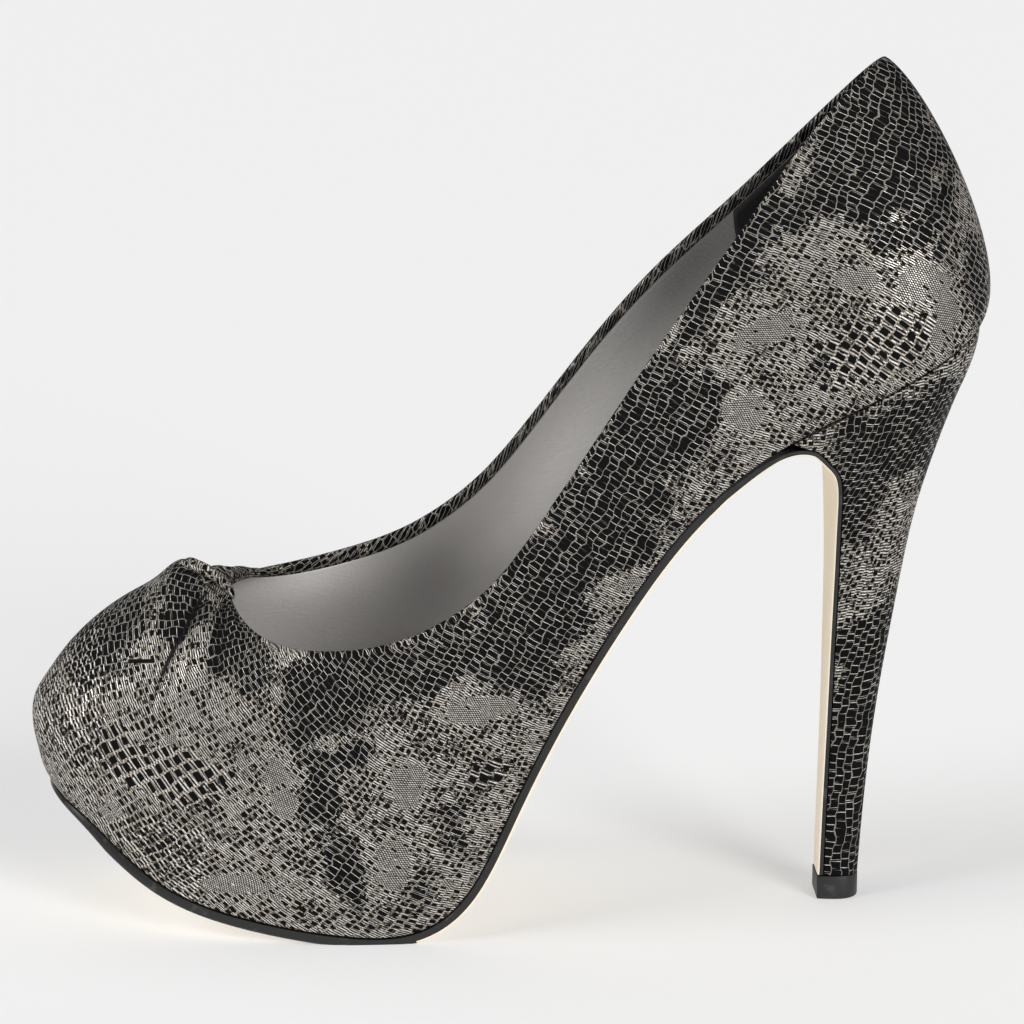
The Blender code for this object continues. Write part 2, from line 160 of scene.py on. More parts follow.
# Folds of the vamp below the knot: points (rib, share of its length) along each, the half width on the
# toe's side and on the heel's side of it, its height at each point (below zero for a crease), and the half
# width of its painted shadow, a dark line painted where the cloth folds in on itself.
Fold = namedtuple("Fold", "points toe_half heel_half heights slit", defaults=(0.0,))
FOLDS = (
    Fold(((-0.45, 0.800), (0.10, 0.795), (0.65, 0.735), (1.10, 0.655), (1.45, 0.575)),
         5.5, 5.0, (2.1, 2.3, 1.7, 0.8, 0.0)),
    Fold(((0.75, 0.895), (0.98, 0.862), (1.21, 0.823), (1.48, 0.770), (1.75, 0.697), (1.94, 0.620),
          (2.10, 0.555), (2.22, 0.490), (2.30, 0.430)),
         0.8, 0.9, (-0.8, -1.5, -2.2, -2.3, -2.2, -1.8, -1.2, -0.6, 0.0), 0.50),
    Fold(((-0.44, 0.833), (0.05, 0.870), (0.41, 0.897), (0.64, 0.927), (0.90, 0.953), (1.10, 0.977)),
         0.8, 1.0, (-0.6, -1.6, -2.0, -2.0, -1.6, -0.8), 0.42),
    Fold(((1.05, 0.915), (1.55, 0.845), (2.00, 0.745), (2.35, 0.640), (2.60, 0.540)),
         1.5, 2.4, (0.6, 1.5, 1.5, 0.9, 0.0)),
    Fold(((1.05, 0.955), (1.45, 0.915), (2.10, 0.850), (2.62, 0.765), (2.95, 0.680)),
         1.5, 1.8, (-0.5, -1.3, -1.2, -0.7, 0.0)),
    Fold(((1.20, 0.985), (2.00, 0.930), (2.60, 0.880), (3.05, 0.800)), 1.6, 2.2, (0.2, 0.6, 0.5, 0.0)),
    Fold(((1.75, 0.975), (2.55, 0.925), (3.20, 0.840)), 1.2, 1.6, (-0.2, -0.5, 0.0)),
    Fold(((0.40, 0.700), (0.80, 0.620), (1.10, 0.530)), 2.4, 2.4, (-0.3, -0.5, 0.0)),
    Fold(((-0.80, 0.800), (-1.15, 0.745), (-1.50, 0.660), (-1.75, 0.575)), 4.5, 4.0, (1.3, 1.4, 0.8, 0.0)),
    Fold(((-1.00, 0.890), (-1.45, 0.825), (-1.80, 0.740), (-2.05, 0.640), (-2.25, 0.540)),
         0.8, 1.2, (-0.8, -1.9, -1.8, -1.0, 0.0), 0.30),
    Fold(((-1.30, 0.930), (-1.95, 0.850), (-2.45, 0.745), (-2.75, 0.650)), 1.8, 2.2, (0.3, 0.9, 0.7, 0.0)),
    Fold(((-1.60, 0.950), (-2.35, 0.880), (-2.95, 0.780)), 1.4, 1.8, (-0.4, -1.0, 0.0)),
)
FOLDS_RIBS = 5.0            # the folds lie within so many ribs of the toe, above this share of a rib
FOLDS_ABOVE = 0.4
FULL_SHADOW_DEPTH = 1.8             # a crease this deep shows the whole width of its painted shadow
NO_CREASE_SHADOW = 9.0
SOFT_DEPTH = 0.4            # a crease flattens over this much before the deepest

# Slight swelling and hollow of the toe's nose: share of the rib, half height and depth
NOSE_RIBS = 1.6
Bulge = namedtuple("Bulge", "v half height")
NOSE = (Bulge(0.255, 0.060, 0.85), Bulge(0.110, 0.050, -0.55))

# Tones of the weave: middle, half length, half height, tilt in degrees and darkness of each patch. Over 0.6
# the weave is a black net, under 0.25 a pale mesh, and between them floats with small black cells.
Patch = namedtuple("Patch", "x z half_long half_high tilt dark")
UPPER_PATCHES = [Patch(*row) for row in (
    (85.0, 184.0, 20.0, 13.5, 97, 0.88),
    (72.0, 174.0, 11.0, 6.0, 45, 0.78),
    (95.3, 167.9, 8.0, 5.5, 60, 0.78),
    (106.0, 152.0, 9.0, 3.0, 95, 0.70),
    (49.7, 155.8, 20.0, 5.0, 57, 0.80),
    (32.6, 118.3, 20.0, 11.0, 48, 0.82),
    (24.0, 99.0, 14.0, 11.5, 50, 0.88),
    (10.9, 88.5, 14.0, 10.5, 50, 0.85),
    (1.0, 73.5, 14.0, 11.5, 40, 0.82),
    (-18.7, 67.6, 13.0, 5.5, 15, 0.72),
    (-38.0, 64.3, 13.0, 6.0, 5, 0.72),
    (-44.9, 56.3, 7.5, 7.5, 0, 0.80),
    (-40.4, 46.7, 9.0, 3.2, 15, 0.80),
    (-44.2, 37.1, 8.0, 4.4, 90, 0.80),
    (-37.6, 19.5, 7.5, 4.4, 100, 0.78),
    (-60.0, 66.0, 8.0, 5.0, 120, 0.62),
    (-75.0, 75.5, 8.5, 5.0, 70, 0.85),
    (-65.5, 70.0, 6.0, 3.5, 70, 0.82),
    (-93.0, 69.0, 16.0, 6.5, 35, 0.60),
    (-106.0, 51.0, 9.0, 5.0, 80, 0.36),
    (-80.0, 22.0, 14.0, 6.0, -25, 0.47),
    (57.7, 141.4, 8.0, 3.8, 20, 0.14),
    (92.3, 152.9, 6.0, 4.6, 0, 0.12),
    (53.1, 123.4, 5.5, 5.0, 60, 0.16),
    (78.9, 153.6, 5.0, 3.6, 20, 0.10),
    (97.6, 142.5, 5.5, 3.6, 80, 0.08),
    (-92.8, 30.0, 3.4, 2.0, 20, 0.17),
    (-63.2, 15.4, 7.0, 3.0, 5, 0.14),
    (-52.9, 38.3, 8.5, 2.8, 95, 0.14),
    (-9.6, 56.3, 9.0, 3.4, 10, 0.16),
    (-24.4, 38.3, 7.0, 4.5, 60, 0.14),
    (-27.8, 21.4, 6.5, 4.5, 60, 0.16),
)]
HEEL_PATCHES = [Patch(*row) for row in (
    (90.0, 113.0, 17.0, 12.0, 55, 0.88),
    (80.0, 100.0, 10.0, 6.0, 80, 0.82),
    (86.0, 60.0, 16.0, 10.0, 90, 0.82),
    (80.0, 26.0, 26.0, 10.0, 90, 0.88),
    (89.0, 92.0, 13.0, 6.0, 80, 0.40),
    (84.5, 78.0, 7.0, 4.0, 80, 0.42),
)]
# Where the cells are large
BIG_PATCHES = [Patch(*row) for row in (
    (-80.0, 41.0, 17.0, 7.0, -20, 1.0),
    (81.5, 137.0, 14.0, 7.0, 27, 1.0),
    (-6.0, 41.0, 5.0, 4.0, 30, 1.0),
)]
# Painted light and shade on the lining, placed in the same way: the last number is how light it is painted
LINING_LIGHT_PATCHES = [Patch(*row) for row in (
    (-50.0, 73.0, 17.0, 7.5, 2, 1.62),
    (-11.0, 69.0, 18.0, 13.0, 22, 0.40),
    (11.0, 97.0, 30.0, 8.0, 55, 1.22),
    (42.0, 147.0, 22.0, 9.0, 52, 0.40),
)]
LINING_LIGHT = 0.85         # away from them
BASE_DARK = 0.44            # away from the patches
BAND_DARK = 0.58            # the fabric folded over the inner side's collar
TOE_LIGHTER = 0.07          # the toe is a little lighter


def closed_spline(lateral, medial):
    """Smooth periodic curve through the lateral values toe to heel and the medial values heel to toe."""
    values = np.array(list(lateral) + list(medial)[-2:0:-1], float)
    count = len(values)
    system = np.zeros((count, count))
    for row in range(count):
        system[row, row] = 4.0
        system[row, (row - 1) % count] = 1.0
        system[row, (row + 1) % count] = 1.0
    bend = np.linalg.solve(system, 6.0 * (np.roll(values, 1) - 2.0 * values + np.roll(values, -1)))

    def curve(t):
        t = np.asarray(t, float) % count
        left = np.floor(t).astype(int) % count
        right = (left + 1) % count
        b = t - np.floor(t)
        a = 1.0 - b
        chord = a * values[left] + b * values[right]
        return chord + ((a ** 3 - a) * bend[left] + (b ** 3 - b) * bend[right]) / 6.0

    return curve


def both_sides(column):
    return closed_spline(column, column)


FOOT_CURVES = (
    both_sides([f.x for f in FEET]),
    closed_spline([-f.lateral for f in FEET], [f.medial for f in FEET]),
    both_sides([f.z for f in FEET]),
)
COLLAR_CURVES = (
    both_sides([c.x for c in COLLARS]),
    closed_spline([-c.lateral for c in COLLARS], [c.medial for c in COLLARS]),
    closed_spline([c.lateral_z for c in COLLARS], [c.medial_z for c in COLLARS]),
)
SWELL_CURVES = {name: both_sides([getattr(s, name) for s in SWELLS]) for name in Swell._fields}
BED_CURVE = both_sides([f.bed for f in FEET])


def at(curves, t):
    return np.stack([curve(t) for curve in curves], axis=-1)


def unit(vectors):
    return vectors / np.linalg.norm(vectors, axis=-1, keepdims=True)


def lengths(points, axis=0):
    """Distance along a line of points, from its start."""
    steps = np.linalg.norm(np.diff(points, axis=axis), axis=-1)
    start = np.zeros_like(np.take(steps, [0], axis=axis))
    return np.concatenate([start, np.cumsum(steps, axis=axis)], axis=axis)


def plan_normal(t):
    step = 0.01
    along = at(FOOT_CURVES, t + step) - at(FOOT_CURVES, t - step)
    return unit(np.stack([along[..., 1], -along[..., 0], np.zeros(along.shape[:-1])], axis=-1))


def wall(t, v):
    """Outer face of the upper: t counts ribs round the shoe, v runs from the sole edge to the collar."""
    t, v = np.broadcast_arrays(np.asarray(t, float), np.asarray(v, float))
    up = np.array([0.0, 0.0, 1.0])
    out = plan_normal(t)
    foot = at(FOOT_CURVES, t)
    top = at(COLLAR_CURVES, t)
    swell = {name: curve(t)[..., None] for name, curve in SWELL_CURVES.items()}
    low = foot + out * swell["low_out"] + up * swell["low_up"]
    high = top + out * swell["high_out"] - up * swell["high_down"]
    v = v[..., None]
    w = 1.0 - v
    return w ** 3 * foot + 3.0 * w * w * v * low + 3.0 * w * v * v * high + v ** 3 * top


def wall_frame(t, v):
    """Outward normal and climbing tangent of the outer face."""
    step = 0.004
    along = wall(t + step, v) - wall(t - step, v)
    climb = unit(wall(t, np.minimum(v + step, 1.0)) - wall(t, np.maximum(v - step, 0.0)))
    return unit(np.cross(along, climb)), climb


PROFILE_RIBS = np.linspace(0.0, RIBS, 400)
PROFILE_X = FOOT_CURVES[0](PROFILE_RIBS)
BED_PROFILE = np.maximum(BED_CURVE(PROFILE_RIBS), FOOT_CURVES[2](PROFILE_RIBS))


def bed_height(x):
    return np.interp(x, PROFILE_X, BED_PROFILE)


def natural_spline(values, steps):
    """Smooth open curve through rows of numbers, with the given number of steps between two rows."""
    values = np.asarray(values, float)
    count = len(values)
    system = np.eye(count)
    right = np.zeros_like(values)
    for row in range(1, count - 1):
        system[row, row - 1:row + 2] = (1.0, 4.0, 1.0)
        right[row] = 6.0 * (values[row - 1] - 2.0 * values[row] + values[row + 1])
    bend = np.linalg.solve(system, right)
    t = np.linspace(0.0, count - 1, (count - 1) * steps + 1)
    left = np.minimum(t.astype(int), count - 2)
    b = (t - left)[:, None]
    a = 1.0 - b
    curve = a * values[left] + b * values[left + 1]
    return curve + ((a ** 3 - a) * bend[left] + (b ** 3 - b) * bend[left + 1]) / 6.0


def smoothstep(x, low, high):
    s = np.clip((x - low) / (high - low), 0.0, 1.0)
    return s * s * (3.0 - 2.0 * s)


def lattice(i, j, k, seed):
    n = (i.astype(np.uint32) * np.uint32(374761393) + j.astype(np.uint32) * np.uint32(668265263)
         + k.astype(np.uint32) * np.uint32(2147483647) + np.uint32(seed * 1274126177 % 4294967296))
    n = (n ^ (n >> np.uint32(13))) * np.uint32(1274126177)
    n = n ^ (n >> np.uint32(16))
    return (n & np.uint32(0xFFFFFF)) / float(0xFFFFFF)


def noise(points, size, seed):
    """Smooth random field between 0 and 1 with bumps of about the given size in millimetres."""
    p = np.asarray(points, float) / size + 1000.0
    base = np.floor(p).astype(np.int64)
    f = p - base
    f = f * f * (3.0 - 2.0 * f)
    total = np.zeros(p.shape[:-1])
    for corner in itertools.product((0, 1), repeat=3):
        weight = np.prod(np.where(corner, f, 1.0 - f), axis=-1)
        total += weight * lattice(*np.moveaxis(base + corner, -1, 0), seed)
    return total


def patch_place(points, patch):
    """Places along and over a patch, in shares of its half length and half height."""
    turn = math.radians(patch.tilt)
    dx = points[..., 0] - patch.x
    dz = points[..., 2] - patch.z
    along = dx * math.cos(turn) + dz * math.sin(turn)
    over = dz * math.cos(turn) - dx * math.sin(turn)
    return along / patch.half_long, over / patch.half_high


def patch_weight(points, patch, wobble):
    """1 inside a patch and 0 outside it, with a ragged edge."""
    along, over = patch_place(points, patch)
    return smoothstep(np.sqrt(along ** 2 + over ** 2) + wobble, 1.25, 0.75)


def weave_zones(points, patches):
    """Darkness of the weave and share of its large cells at each point."""
    side = np.where(points[..., 1] > 0.0, 40.0, 0.0)[..., None] * np.array([0.0, 1.0, 0.0])
    seen = points + side
    wobble = 0.9 * (noise(seen, 7.0, 3) - 0.5) + 0.5 * (noise(seen, 3.0, 4) - 0.5)
    toe = smoothstep(points[..., 0], -40.0, -60.0)
    dark = BASE_DARK - TOE_LIGHTER * toe + 0.30 * (noise(seen, 3.0, 6) - 0.5)
    dark = dark + (0.50 - 0.20 * toe) * (noise(seen, 7.0, 5) - 0.5)
    for patch in patches:
        weight = patch_weight(points, patch, wobble)
        dark = dark * (1.0 - weight) + patch.dark * weight
    big = np.zeros(points.shape[:-1])
    for patch in BIG_PATCHES:
        big = np.maximum(big, patch.dark * patch_weight(points, patch, wobble))
    return np.clip(dark, 0.0, 1.0), np.clip(big, 0.0, 1.0)


def lining_tones(points):
    """Painted light and shade of the lining at each point: how light it is painted."""
    tone = np.full(points.shape[:-1], LINING_LIGHT)
    for patch in LINING_LIGHT_PATCHES:
        along, over = patch_place(points, patch)
        weight = np.exp(-along ** 2 - over ** 2)
        tone = tone * (1.0 - weight) + patch.dark * weight
    return tone


def add_object(name, verts, faces, materials, slots=None, sharp=None):
    """Smooth-shaded mesh object from points in millimetres."""
    mesh = bpy.data.meshes.new(name)
    mesh.from_pydata((np.asarray(verts) * MM).tolist(), [], faces)
    for material in materials:
        mesh.materials.append(material)
    if slots is not None:
        mesh.polygons.foreach_set("material_index", np.asarray(slots, np.int32))
    mesh.shade_smooth()
    if sharp:
        mesh.set_sharp_from_angle(angle=math.radians(sharp))
    mesh.validate()
    mesh.update()
    piece = bpy.data.objects.new(name, mesh)
    bpy.context.scene.collection.objects.link(piece)
    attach(piece, "root")
    return piece


def set_uv(piece, corners):
    """corners holds one (u, v) in millimetres for each face corner."""
    layer = piece.data.uv_layers.new(name="weave")
    layer.data.foreach_set("uv", (np.asarray(corners, np.float32) / UV_MM).ravel())


def set_numbers(piece, **numbers):
    """Named numbers at the points of a piece: one for each point, or one for them all."""
    count = len(piece.data.vertices)
    for name, values in numbers.items():
        values = np.broadcast_to(np.asarray(values, np.float32).ravel(), count)
        attribute = piece.data.attributes.new(name, "FLOAT", "POINT")
        attribute.data.foreach_set("value", np.ascontiguousarray(values))


def quads(rows, columns, join_rows, join_columns):
    """Quads of a grid of points stored row by row; the last row or column may join the first."""
    r = np.arange(rows if join_rows else rows - 1)[:, None]
    k = np.arange(columns if join_columns else columns - 1)[None, :]
    low = r * columns
    high = (r + 1) % rows * columns
    n = (k + 1) % columns
    return np.stack([low + k, low + n, high + n, high + k], axis=-1).reshape(-1, 4)


def tube(rings):
    """Closed skin through closed rings, with flat ends, turned so that it encloses a positive volume."""
    width = len(rings[0])
    verts = np.concatenate(rings)
    faces = quads(len(rings), width, False, True).tolist()
    faces.append(list(range(width))[::-1])
    faces.append(list(range(len(verts) - width, len(verts))))
    volume = 0.0
    for first, *rest in faces:
        for second, third in zip(rest, rest[1:]):
            volume += np.dot(verts[first], np.cross(verts[second], verts[third]))
    if volume < 0.0:
        faces = [face[::-1] for face in faces]
    return faces, verts


class Value:
    """Output of a shader node. Arithmetic on it makes Math nodes."""

    def __init__(self, graph, socket):
        self.graph = graph
        self.socket = socket

    def __add__(self, other):
        return self.graph.math("ADD", self, other)

    def __sub__(self, other):
        return self.graph.math("SUBTRACT", self, other)

    def __rsub__(self, other):
        return self.graph.math("SUBTRACT", other, self)

    def __mul__(self, other):
        return self.graph.math("MULTIPLY", self, other)

    def __truediv__(self, other):
        return self.graph.math("DIVIDE", self, other)

    def __abs__(self):
        return self.graph.math("ABSOLUTE", self)

    def floor(self):
        return self.graph.math("FLOOR", self)

    def sine(self):
        return self.graph.math("SINE", self)


class Graph:
    """Wires shader nodes: inputs may be numbers or values."""

    def __init__(self, tree):
        self.tree = tree

    def feed(self, node, inputs):
        for key, value in inputs.items():
            if isinstance(value, Value):
                self.tree.links.new(value.socket, node.inputs[key])
            else:
                node.inputs[key].default_value = value

    def add(self, kind, inputs, **settings):
        node = self.tree.nodes.new(kind)
        for key, value in settings.items():
            setattr(node, key, value)
        self.feed(node, inputs)
        return node

    def take(self, kind, output, inputs, **settings):
        """One output of a new node."""
        return Value(self, self.add(kind, inputs, **settings).outputs[output])

    def math(self, operation, *values):
        return self.take("ShaderNodeMath", 0, dict(enumerate(values)), operation=operation)

    def most(self, first, second):
        return self.math("MAXIMUM", first, second)

    def ramp(self, value, low, high, to_low=0.0, to_high=1.0):
        return self.take("ShaderNodeMapRange", "Result", {
            "Value": value, "From Min": low, "From Max": high, "To Min": to_low, "To Max": to_high,
        }, interpolation_type="SMOOTHSTEP")

    def mix(self, share, first, second):
        return self.take("ShaderNodeMix", 0, {0: share, 2: first, 3: second}, data_type="FLOAT")

    def tint(self, share, first, second):
        """Mix of two colours, given as values or as red, green and blue."""
        first, second = (c if isinstance(c, Value) else (*c, 1.0) for c in (first, second))
        return self.take("ShaderNodeMix", 2, {0: share, 6: first, 7: second}, data_type="RGBA")

    def vector(self, x, y):
        return self.take("ShaderNodeCombineXYZ", 0, {"X": x, "Y": y})

    def scaled(self, vector, scale):
        return self.take("ShaderNodeVectorMath", 0, {0: vector, "Scale": scale}, operation="SCALE")

    def split(self, value, kind="ShaderNodeSeparateXYZ"):
        return [Value(self, socket) for socket in self.add(kind, {0: value}).outputs]

    def channels(self, colour):
        return self.split(colour, "ShaderNodeSeparateColor")

    def number(self, name):
        return self.take("ShaderNodeAttribute", "Fac", {}, attribute_name=name)

    def place(self):
        return self.take("ShaderNodeTexCoord", "Object", {})

    def clouds(self, vector, scale, detail=2.0, rough=0.5, output="Fac"):
        return self.take("ShaderNodeTexNoise", output, {
            "Vector": vector, "Scale": scale, "Detail": detail, "Roughness": rough,
        })

    def dice(self, whole, other=None, output="Value"):
        """Random number for a whole number, or for a pair of them."""
        if other is None:
            return self.take("ShaderNodeTexWhiteNoise", output, {"W": whole}, noise_dimensions="1D")
        spot = self.vector(whole, other)
        return self.take("ShaderNodeTexWhiteNoise", output, {"Vector": spot}, noise_dimensions="2D")

    def bump(self, height, strength, distance):
        return self.take("ShaderNodeBump", "Normal", {
            "Height": height, "Strength": strength, "Distance": distance,
        })


def new_material(name):
    material = bpy.data.materials.new(name)
    material.use_nodes = True
    return material, Graph(material.node_tree), material.node_tree.nodes["Principled BSDF"]


CELL_CORNER = 0.22          # rounding of the black cells, millimetres
FLOAT_LEAN = 0.12           # how far the floats lean over each millimetre of row height
ZIGZAG = 0.06               # of the threads, in shares of a row's height
MESH_PITCH = 0.52           # dashes of the pale mesh
MESH_ROW = 0.52
SPECK_PITCH = 0.62          # short dark gaps between the floats
SPECK_ROW = 1.05
WIDE_PITCH = 1.35           # the same, and the floats, where the toe turns to its front
WIDE_ROW = 1.45
WIDE_SPACING = 1.00

# Scales of the weave: pitch of the cells along a row, height of a row, margin round a cell, spacing of the
# floats, seed, and how strongly the threads and the rims of the cells show
Scale = namedtuple("Scale", "pitch height margin spacing seed threads rims")
SMALL_CELLS = Scale(1.45, 1.75, 0.24, 0.54, 11.0, 0.30, 0.45)
NET_CELLS = Scale(1.52, 2.30, 0.06, 0.40, 37.0, 0.90, 0.0)
BIG_CELLS = Scale(2.70, 2.70, 0.34, 0.82, 71.0, 0.60, 0.45)

# Darkness at which the weave turns into the net and into the mesh
NET_FROM = (0.53, 0.56)
MESH_FROM = (0.23, 0.20)

# A pulled thread on the side of the toe: its ends and half width
PULL_FROM = (-87.3, 64.7)
PULL_TO = (-81.8, 65.2)
PULL_HALF = 0.40


def weave_cells():
    """Node group: rows of black cells with a pale rim, between zigzag threads and crossed by floats."""
    group = bpy.data.node_groups.new("weave_cells", "ShaderNodeTree")
    given = ("U", "V", "Pitch", "Height", "Length", "Keep", "Margin", "Spacing", "Seed")
    for name in given:
        group.interface.new_socket(name, in_out="INPUT", socket_type="NodeSocketFloat")
    for name in ("Black", "Rim", "Line", "Float", "Glint"):
        group.interface.new_socket(name, in_out="OUTPUT", socket_type="NodeSocketFloat")
    g = Graph(group)
    entry = g.add("NodeGroupInput", {}).outputs
    u, v, pitch, height, length, keep, margin, spacing, seed = (Value(g, entry[name]) for name in given)
    along = u / pitch
    rise = v / height + (along * math.pi).sine() * ZIGZAG
    row = rise.floor()
    up = rise - row
    row_seed = row + seed
    shift = g.dice(row_seed)
    place = along + (row * 0.5 + shift * 0.4)
    cell = place.floor()
    across = place - cell
    luck = g.channels(g.dice(cell, row_seed, "Color"))[1]
    length = length * (g.dice(cell, row_seed) * 0.5 + 0.75)
    middle = abs(up - 0.5) * height
    border = height * 0.5
    beside = (abs(across - 0.5) - length * 0.5) * pitch
    above = middle - (border - margin * (luck + 0.6))
    beside = g.most(beside + CELL_CORNER, 0.0)
    above = g.most(above + CELL_CORNER, 0.0)
    reach = g.math("SQRT", beside * beside + above * above) - CELL_CORNER
    there = g.math("LESS_THAN", luck, keep)
    wave = u / spacing + shift * 7.3 + v * FLOAT_LEAN
    g.add("NodeGroupOutput", {
        "Black": g.ramp(reach, 0.06, -0.06) * there,
        "Rim": g.ramp(abs(reach - 0.15), 0.13, 0.05) * there,
        "Line": g.ramp(border - middle, 0.15, 0.05),
        "Float": (wave * TURN).sine(),
        "Glint": g.dice(wave.floor(), row_seed),
    })
    return group


def short_gaps(g, u, v, pitch, height, chance):
    """Short dark gaps between floats, in rows."""
    rise = v / height
    row = rise.floor()
    place = u / pitch + g.dice(row) * 5.0
    cell = place.floor()
    shape = g.ramp(abs(place - cell - 0.5), 0.42, 0.28) * g.ramp(abs(rise - row - 0.5), 0.44, 0.34)
    return shape * g.math("LESS_THAN", g.dice(cell, row), chance)


def pulled_thread(g):
    """Dark gap left by a pulled thread, and the pale threads beside it."""
    x, y, z = g.split(g.place())
    long_x = PULL_TO[0] - PULL_FROM[0]
    long_z = PULL_TO[1] - PULL_FROM[1]
    x = x / MM - PULL_FROM[0]
    z = z / MM - PULL_FROM[1]
    share = (x * long_x + z * long_z) / (long_x ** 2 + long_z ** 2)
    share = g.math("MINIMUM", g.most(share, 0.0), 1.0)
    off_x = x - share * long_x
    off_z = z - share * long_z
    off = g.math("SQRT", off_x * off_x + off_z * off_z)
    near_side = g.math("LESS_THAN", y, 0.0)
    gap = g.ramp(off, PULL_HALF + 0.06, PULL_HALF - 0.06)
    edge = g.ramp(abs(off - (PULL_HALF + 0.16)), 0.16, 0.06, 0.0, 0.8)
    return gap * near_side, edge * near_side


def make_fabric(cells):
    material, g, shader = new_material("patterned_fabric")
    place = g.scaled(g.take("ShaderNodeUVMap", "UV", {}, uv_map="weave"), UV_MM)
    u, v, _ = g.split(place)
    slow, drift, quick = (g.channels(g.clouds(place, scale, 1.0, output="Color"))
                          for scale in (0.10, 0.22, 0.50))
    for field, reach_u, reach_v in ((slow, 1.2, 3.0), (quick, 0.16, 0.36)):
        u = u + (field[0] - 0.5) * reach_u
        v = v + (field[1] - 0.5) * reach_v
    net_v = v + (drift[1] - 0.5) * 2.6 + (quick[2] - 0.5) * 0.9
    dark = g.number("zone") + (g.clouds(place, 0.45) - 0.5) * 0.45
    round_mesh = g.ramp(abs(dark - 0.25), 0.05, 0.02, 0.0, 0.85)
    keep = g.most(g.ramp(dark, 0.24, 0.50, 0.10, 0.85), round_mesh)
    small_length = g.ramp(dark, 0.20, 0.55, 0.36, 0.62)
    net_length = g.ramp(dark, 0.45, 0.95, 0.52, 0.80)
    scales = (SMALL_CELLS, NET_CELLS, BIG_CELLS)
    looks = []
    for scale, rise, length, kept in zip(scales, (v, net_v, v), (small_length, net_length, 0.52),
                                         (keep, 1.01, 0.96)):
        looks.append(g.add("ShaderNodeGroup", {
            "U": u, "V": rise, "Pitch": scale.pitch, "Height": scale.height, "Length": length, "Keep": kept,
            "Margin": scale.margin, "Spacing": scale.spacing, "Seed": scale.seed,
        }, node_tree=cells).outputs)
    to_net = g.ramp(dark, *NET_FROM)
    to_big = g.ramp(g.number("big"), 0.47, 0.53) * g.ramp(dark, 0.72, 0.69)
    to_mesh = g.ramp(dark, *MESH_FROM) * (1.0 - to_big)

    def layered(name, strengths=(1.0, 1.0, 1.0)):
        small, net, large = (Value(g, look[name]) * strength for look, strength in zip(looks, strengths))
        return g.mix(to_big, g.mix(to_net, small, net), large)

    # Floats, with short gaps between them, and the dashes of the mesh
    coarse = g.number("coarse")
    wide = ((u / WIDE_SPACING + g.dice((v / WIDE_ROW).floor()) * 6.0) * TURN).sine()
    stripe = g.ramp(g.mix(coarse, layered("Float") - to_net * 0.3, wide), -0.10, 0.50)
    chance = g.ramp(dark, 0.23, 0.50, 0.0, 0.42)
    gaps = g.mix(coarse, short_gaps(g, u, v, SPECK_PITCH, SPECK_ROW, chance),
                 short_gaps(g, u, v, WIDE_PITCH, WIDE_ROW, chance + 0.10))
    step = v / MESH_ROW
    step_row = step.floor()
    dash = g.ramp(((u / MESH_PITCH + step_row * 0.5) * TURN).sine(), -0.35, 0.45)
    dash_end = g.ramp(abs(step - step_row - 0.5), 0.5, 0.34)
    stripe = g.mix(to_mesh, stripe, dash * dash_end)

    # Black cells with their rims, threads, and the pulled one
    pulled, beside_pull = pulled_thread(g)
    black = g.most(g.most(layered("Black"), gaps * (1.0 - to_net) * 0.92), pulled)
    rim = g.most(layered("Rim", [scale.rims for scale in scales]), beside_pull)
    line = layered("Line", [scale.threads for scale in scales]) * (1.0 - to_mesh) * (1.0 - pulled)
    # painted crease shadow: a dark line painted along the deep creases
    slit = g.ramp(g.number("slit"), 0.14, -0.08, 0.0, 0.96)
    # painted shade: the creases darkened by their depth; the heel's cloth is also a little darker
    # throughout
    shade = g.most(g.number("shade") * 0.55, slit)

    # Silver that glints from float to float and is warmer in places
    bundles = g.clouds(g.vector(u * 0.8, v * 0.28), 1.0)
    glint = g.mix(0.55, layered("Glint"), g.ramp(g.clouds(place, 1.1), 0.32, 0.68))
    glint = g.ramp(glint + (bundles - 0.5) * 0.8, 0.05, 0.90)
    warm = g.ramp(g.clouds(place, 0.7), 0.42, 0.66, 0.0, 0.60)
    silver = g.tint(glint, (0.30, 0.28, 0.25), (1.0, 0.985, 0.95))
    silver = g.tint(warm, silver, (0.60, 0.53, 0.44))
    silver = g.tint(to_mesh * 0.45, silver, (0.45, 0.43, 0.39))
    thread = g.tint(to_net, (0.46, 0.40, 0.32), (0.27, 0.245, 0.21))
    colour = g.tint(stripe, g.tint(to_net, (0.022, 0.020, 0.018), (0.006, 0.006, 0.006)), silver)
    colour = g.tint(rim, colour, thread)
    colour = g.tint(black, colour, (0.004, 0.004, 0.0042))
    colour = g.tint(line, colour, thread)
    lit = stripe * (1.0 - g.most(g.most(black, line), shade))
    raised = g.most(stripe * (1.0 - black), line)
    g.feed(shader, {
        "Base Color": g.tint(shade, colour, (0.005, 0.005, 0.005)),
        "Metallic": lit * 0.60,
        "Roughness": g.mix(lit, 0.68, g.mix(glint, 0.52, 0.42)),
        "Specular IOR Level": g.mix(lit, 0.06, 0.5),
        "Normal": g.bump(raised, 0.8, 0.00014),
    })
    return material


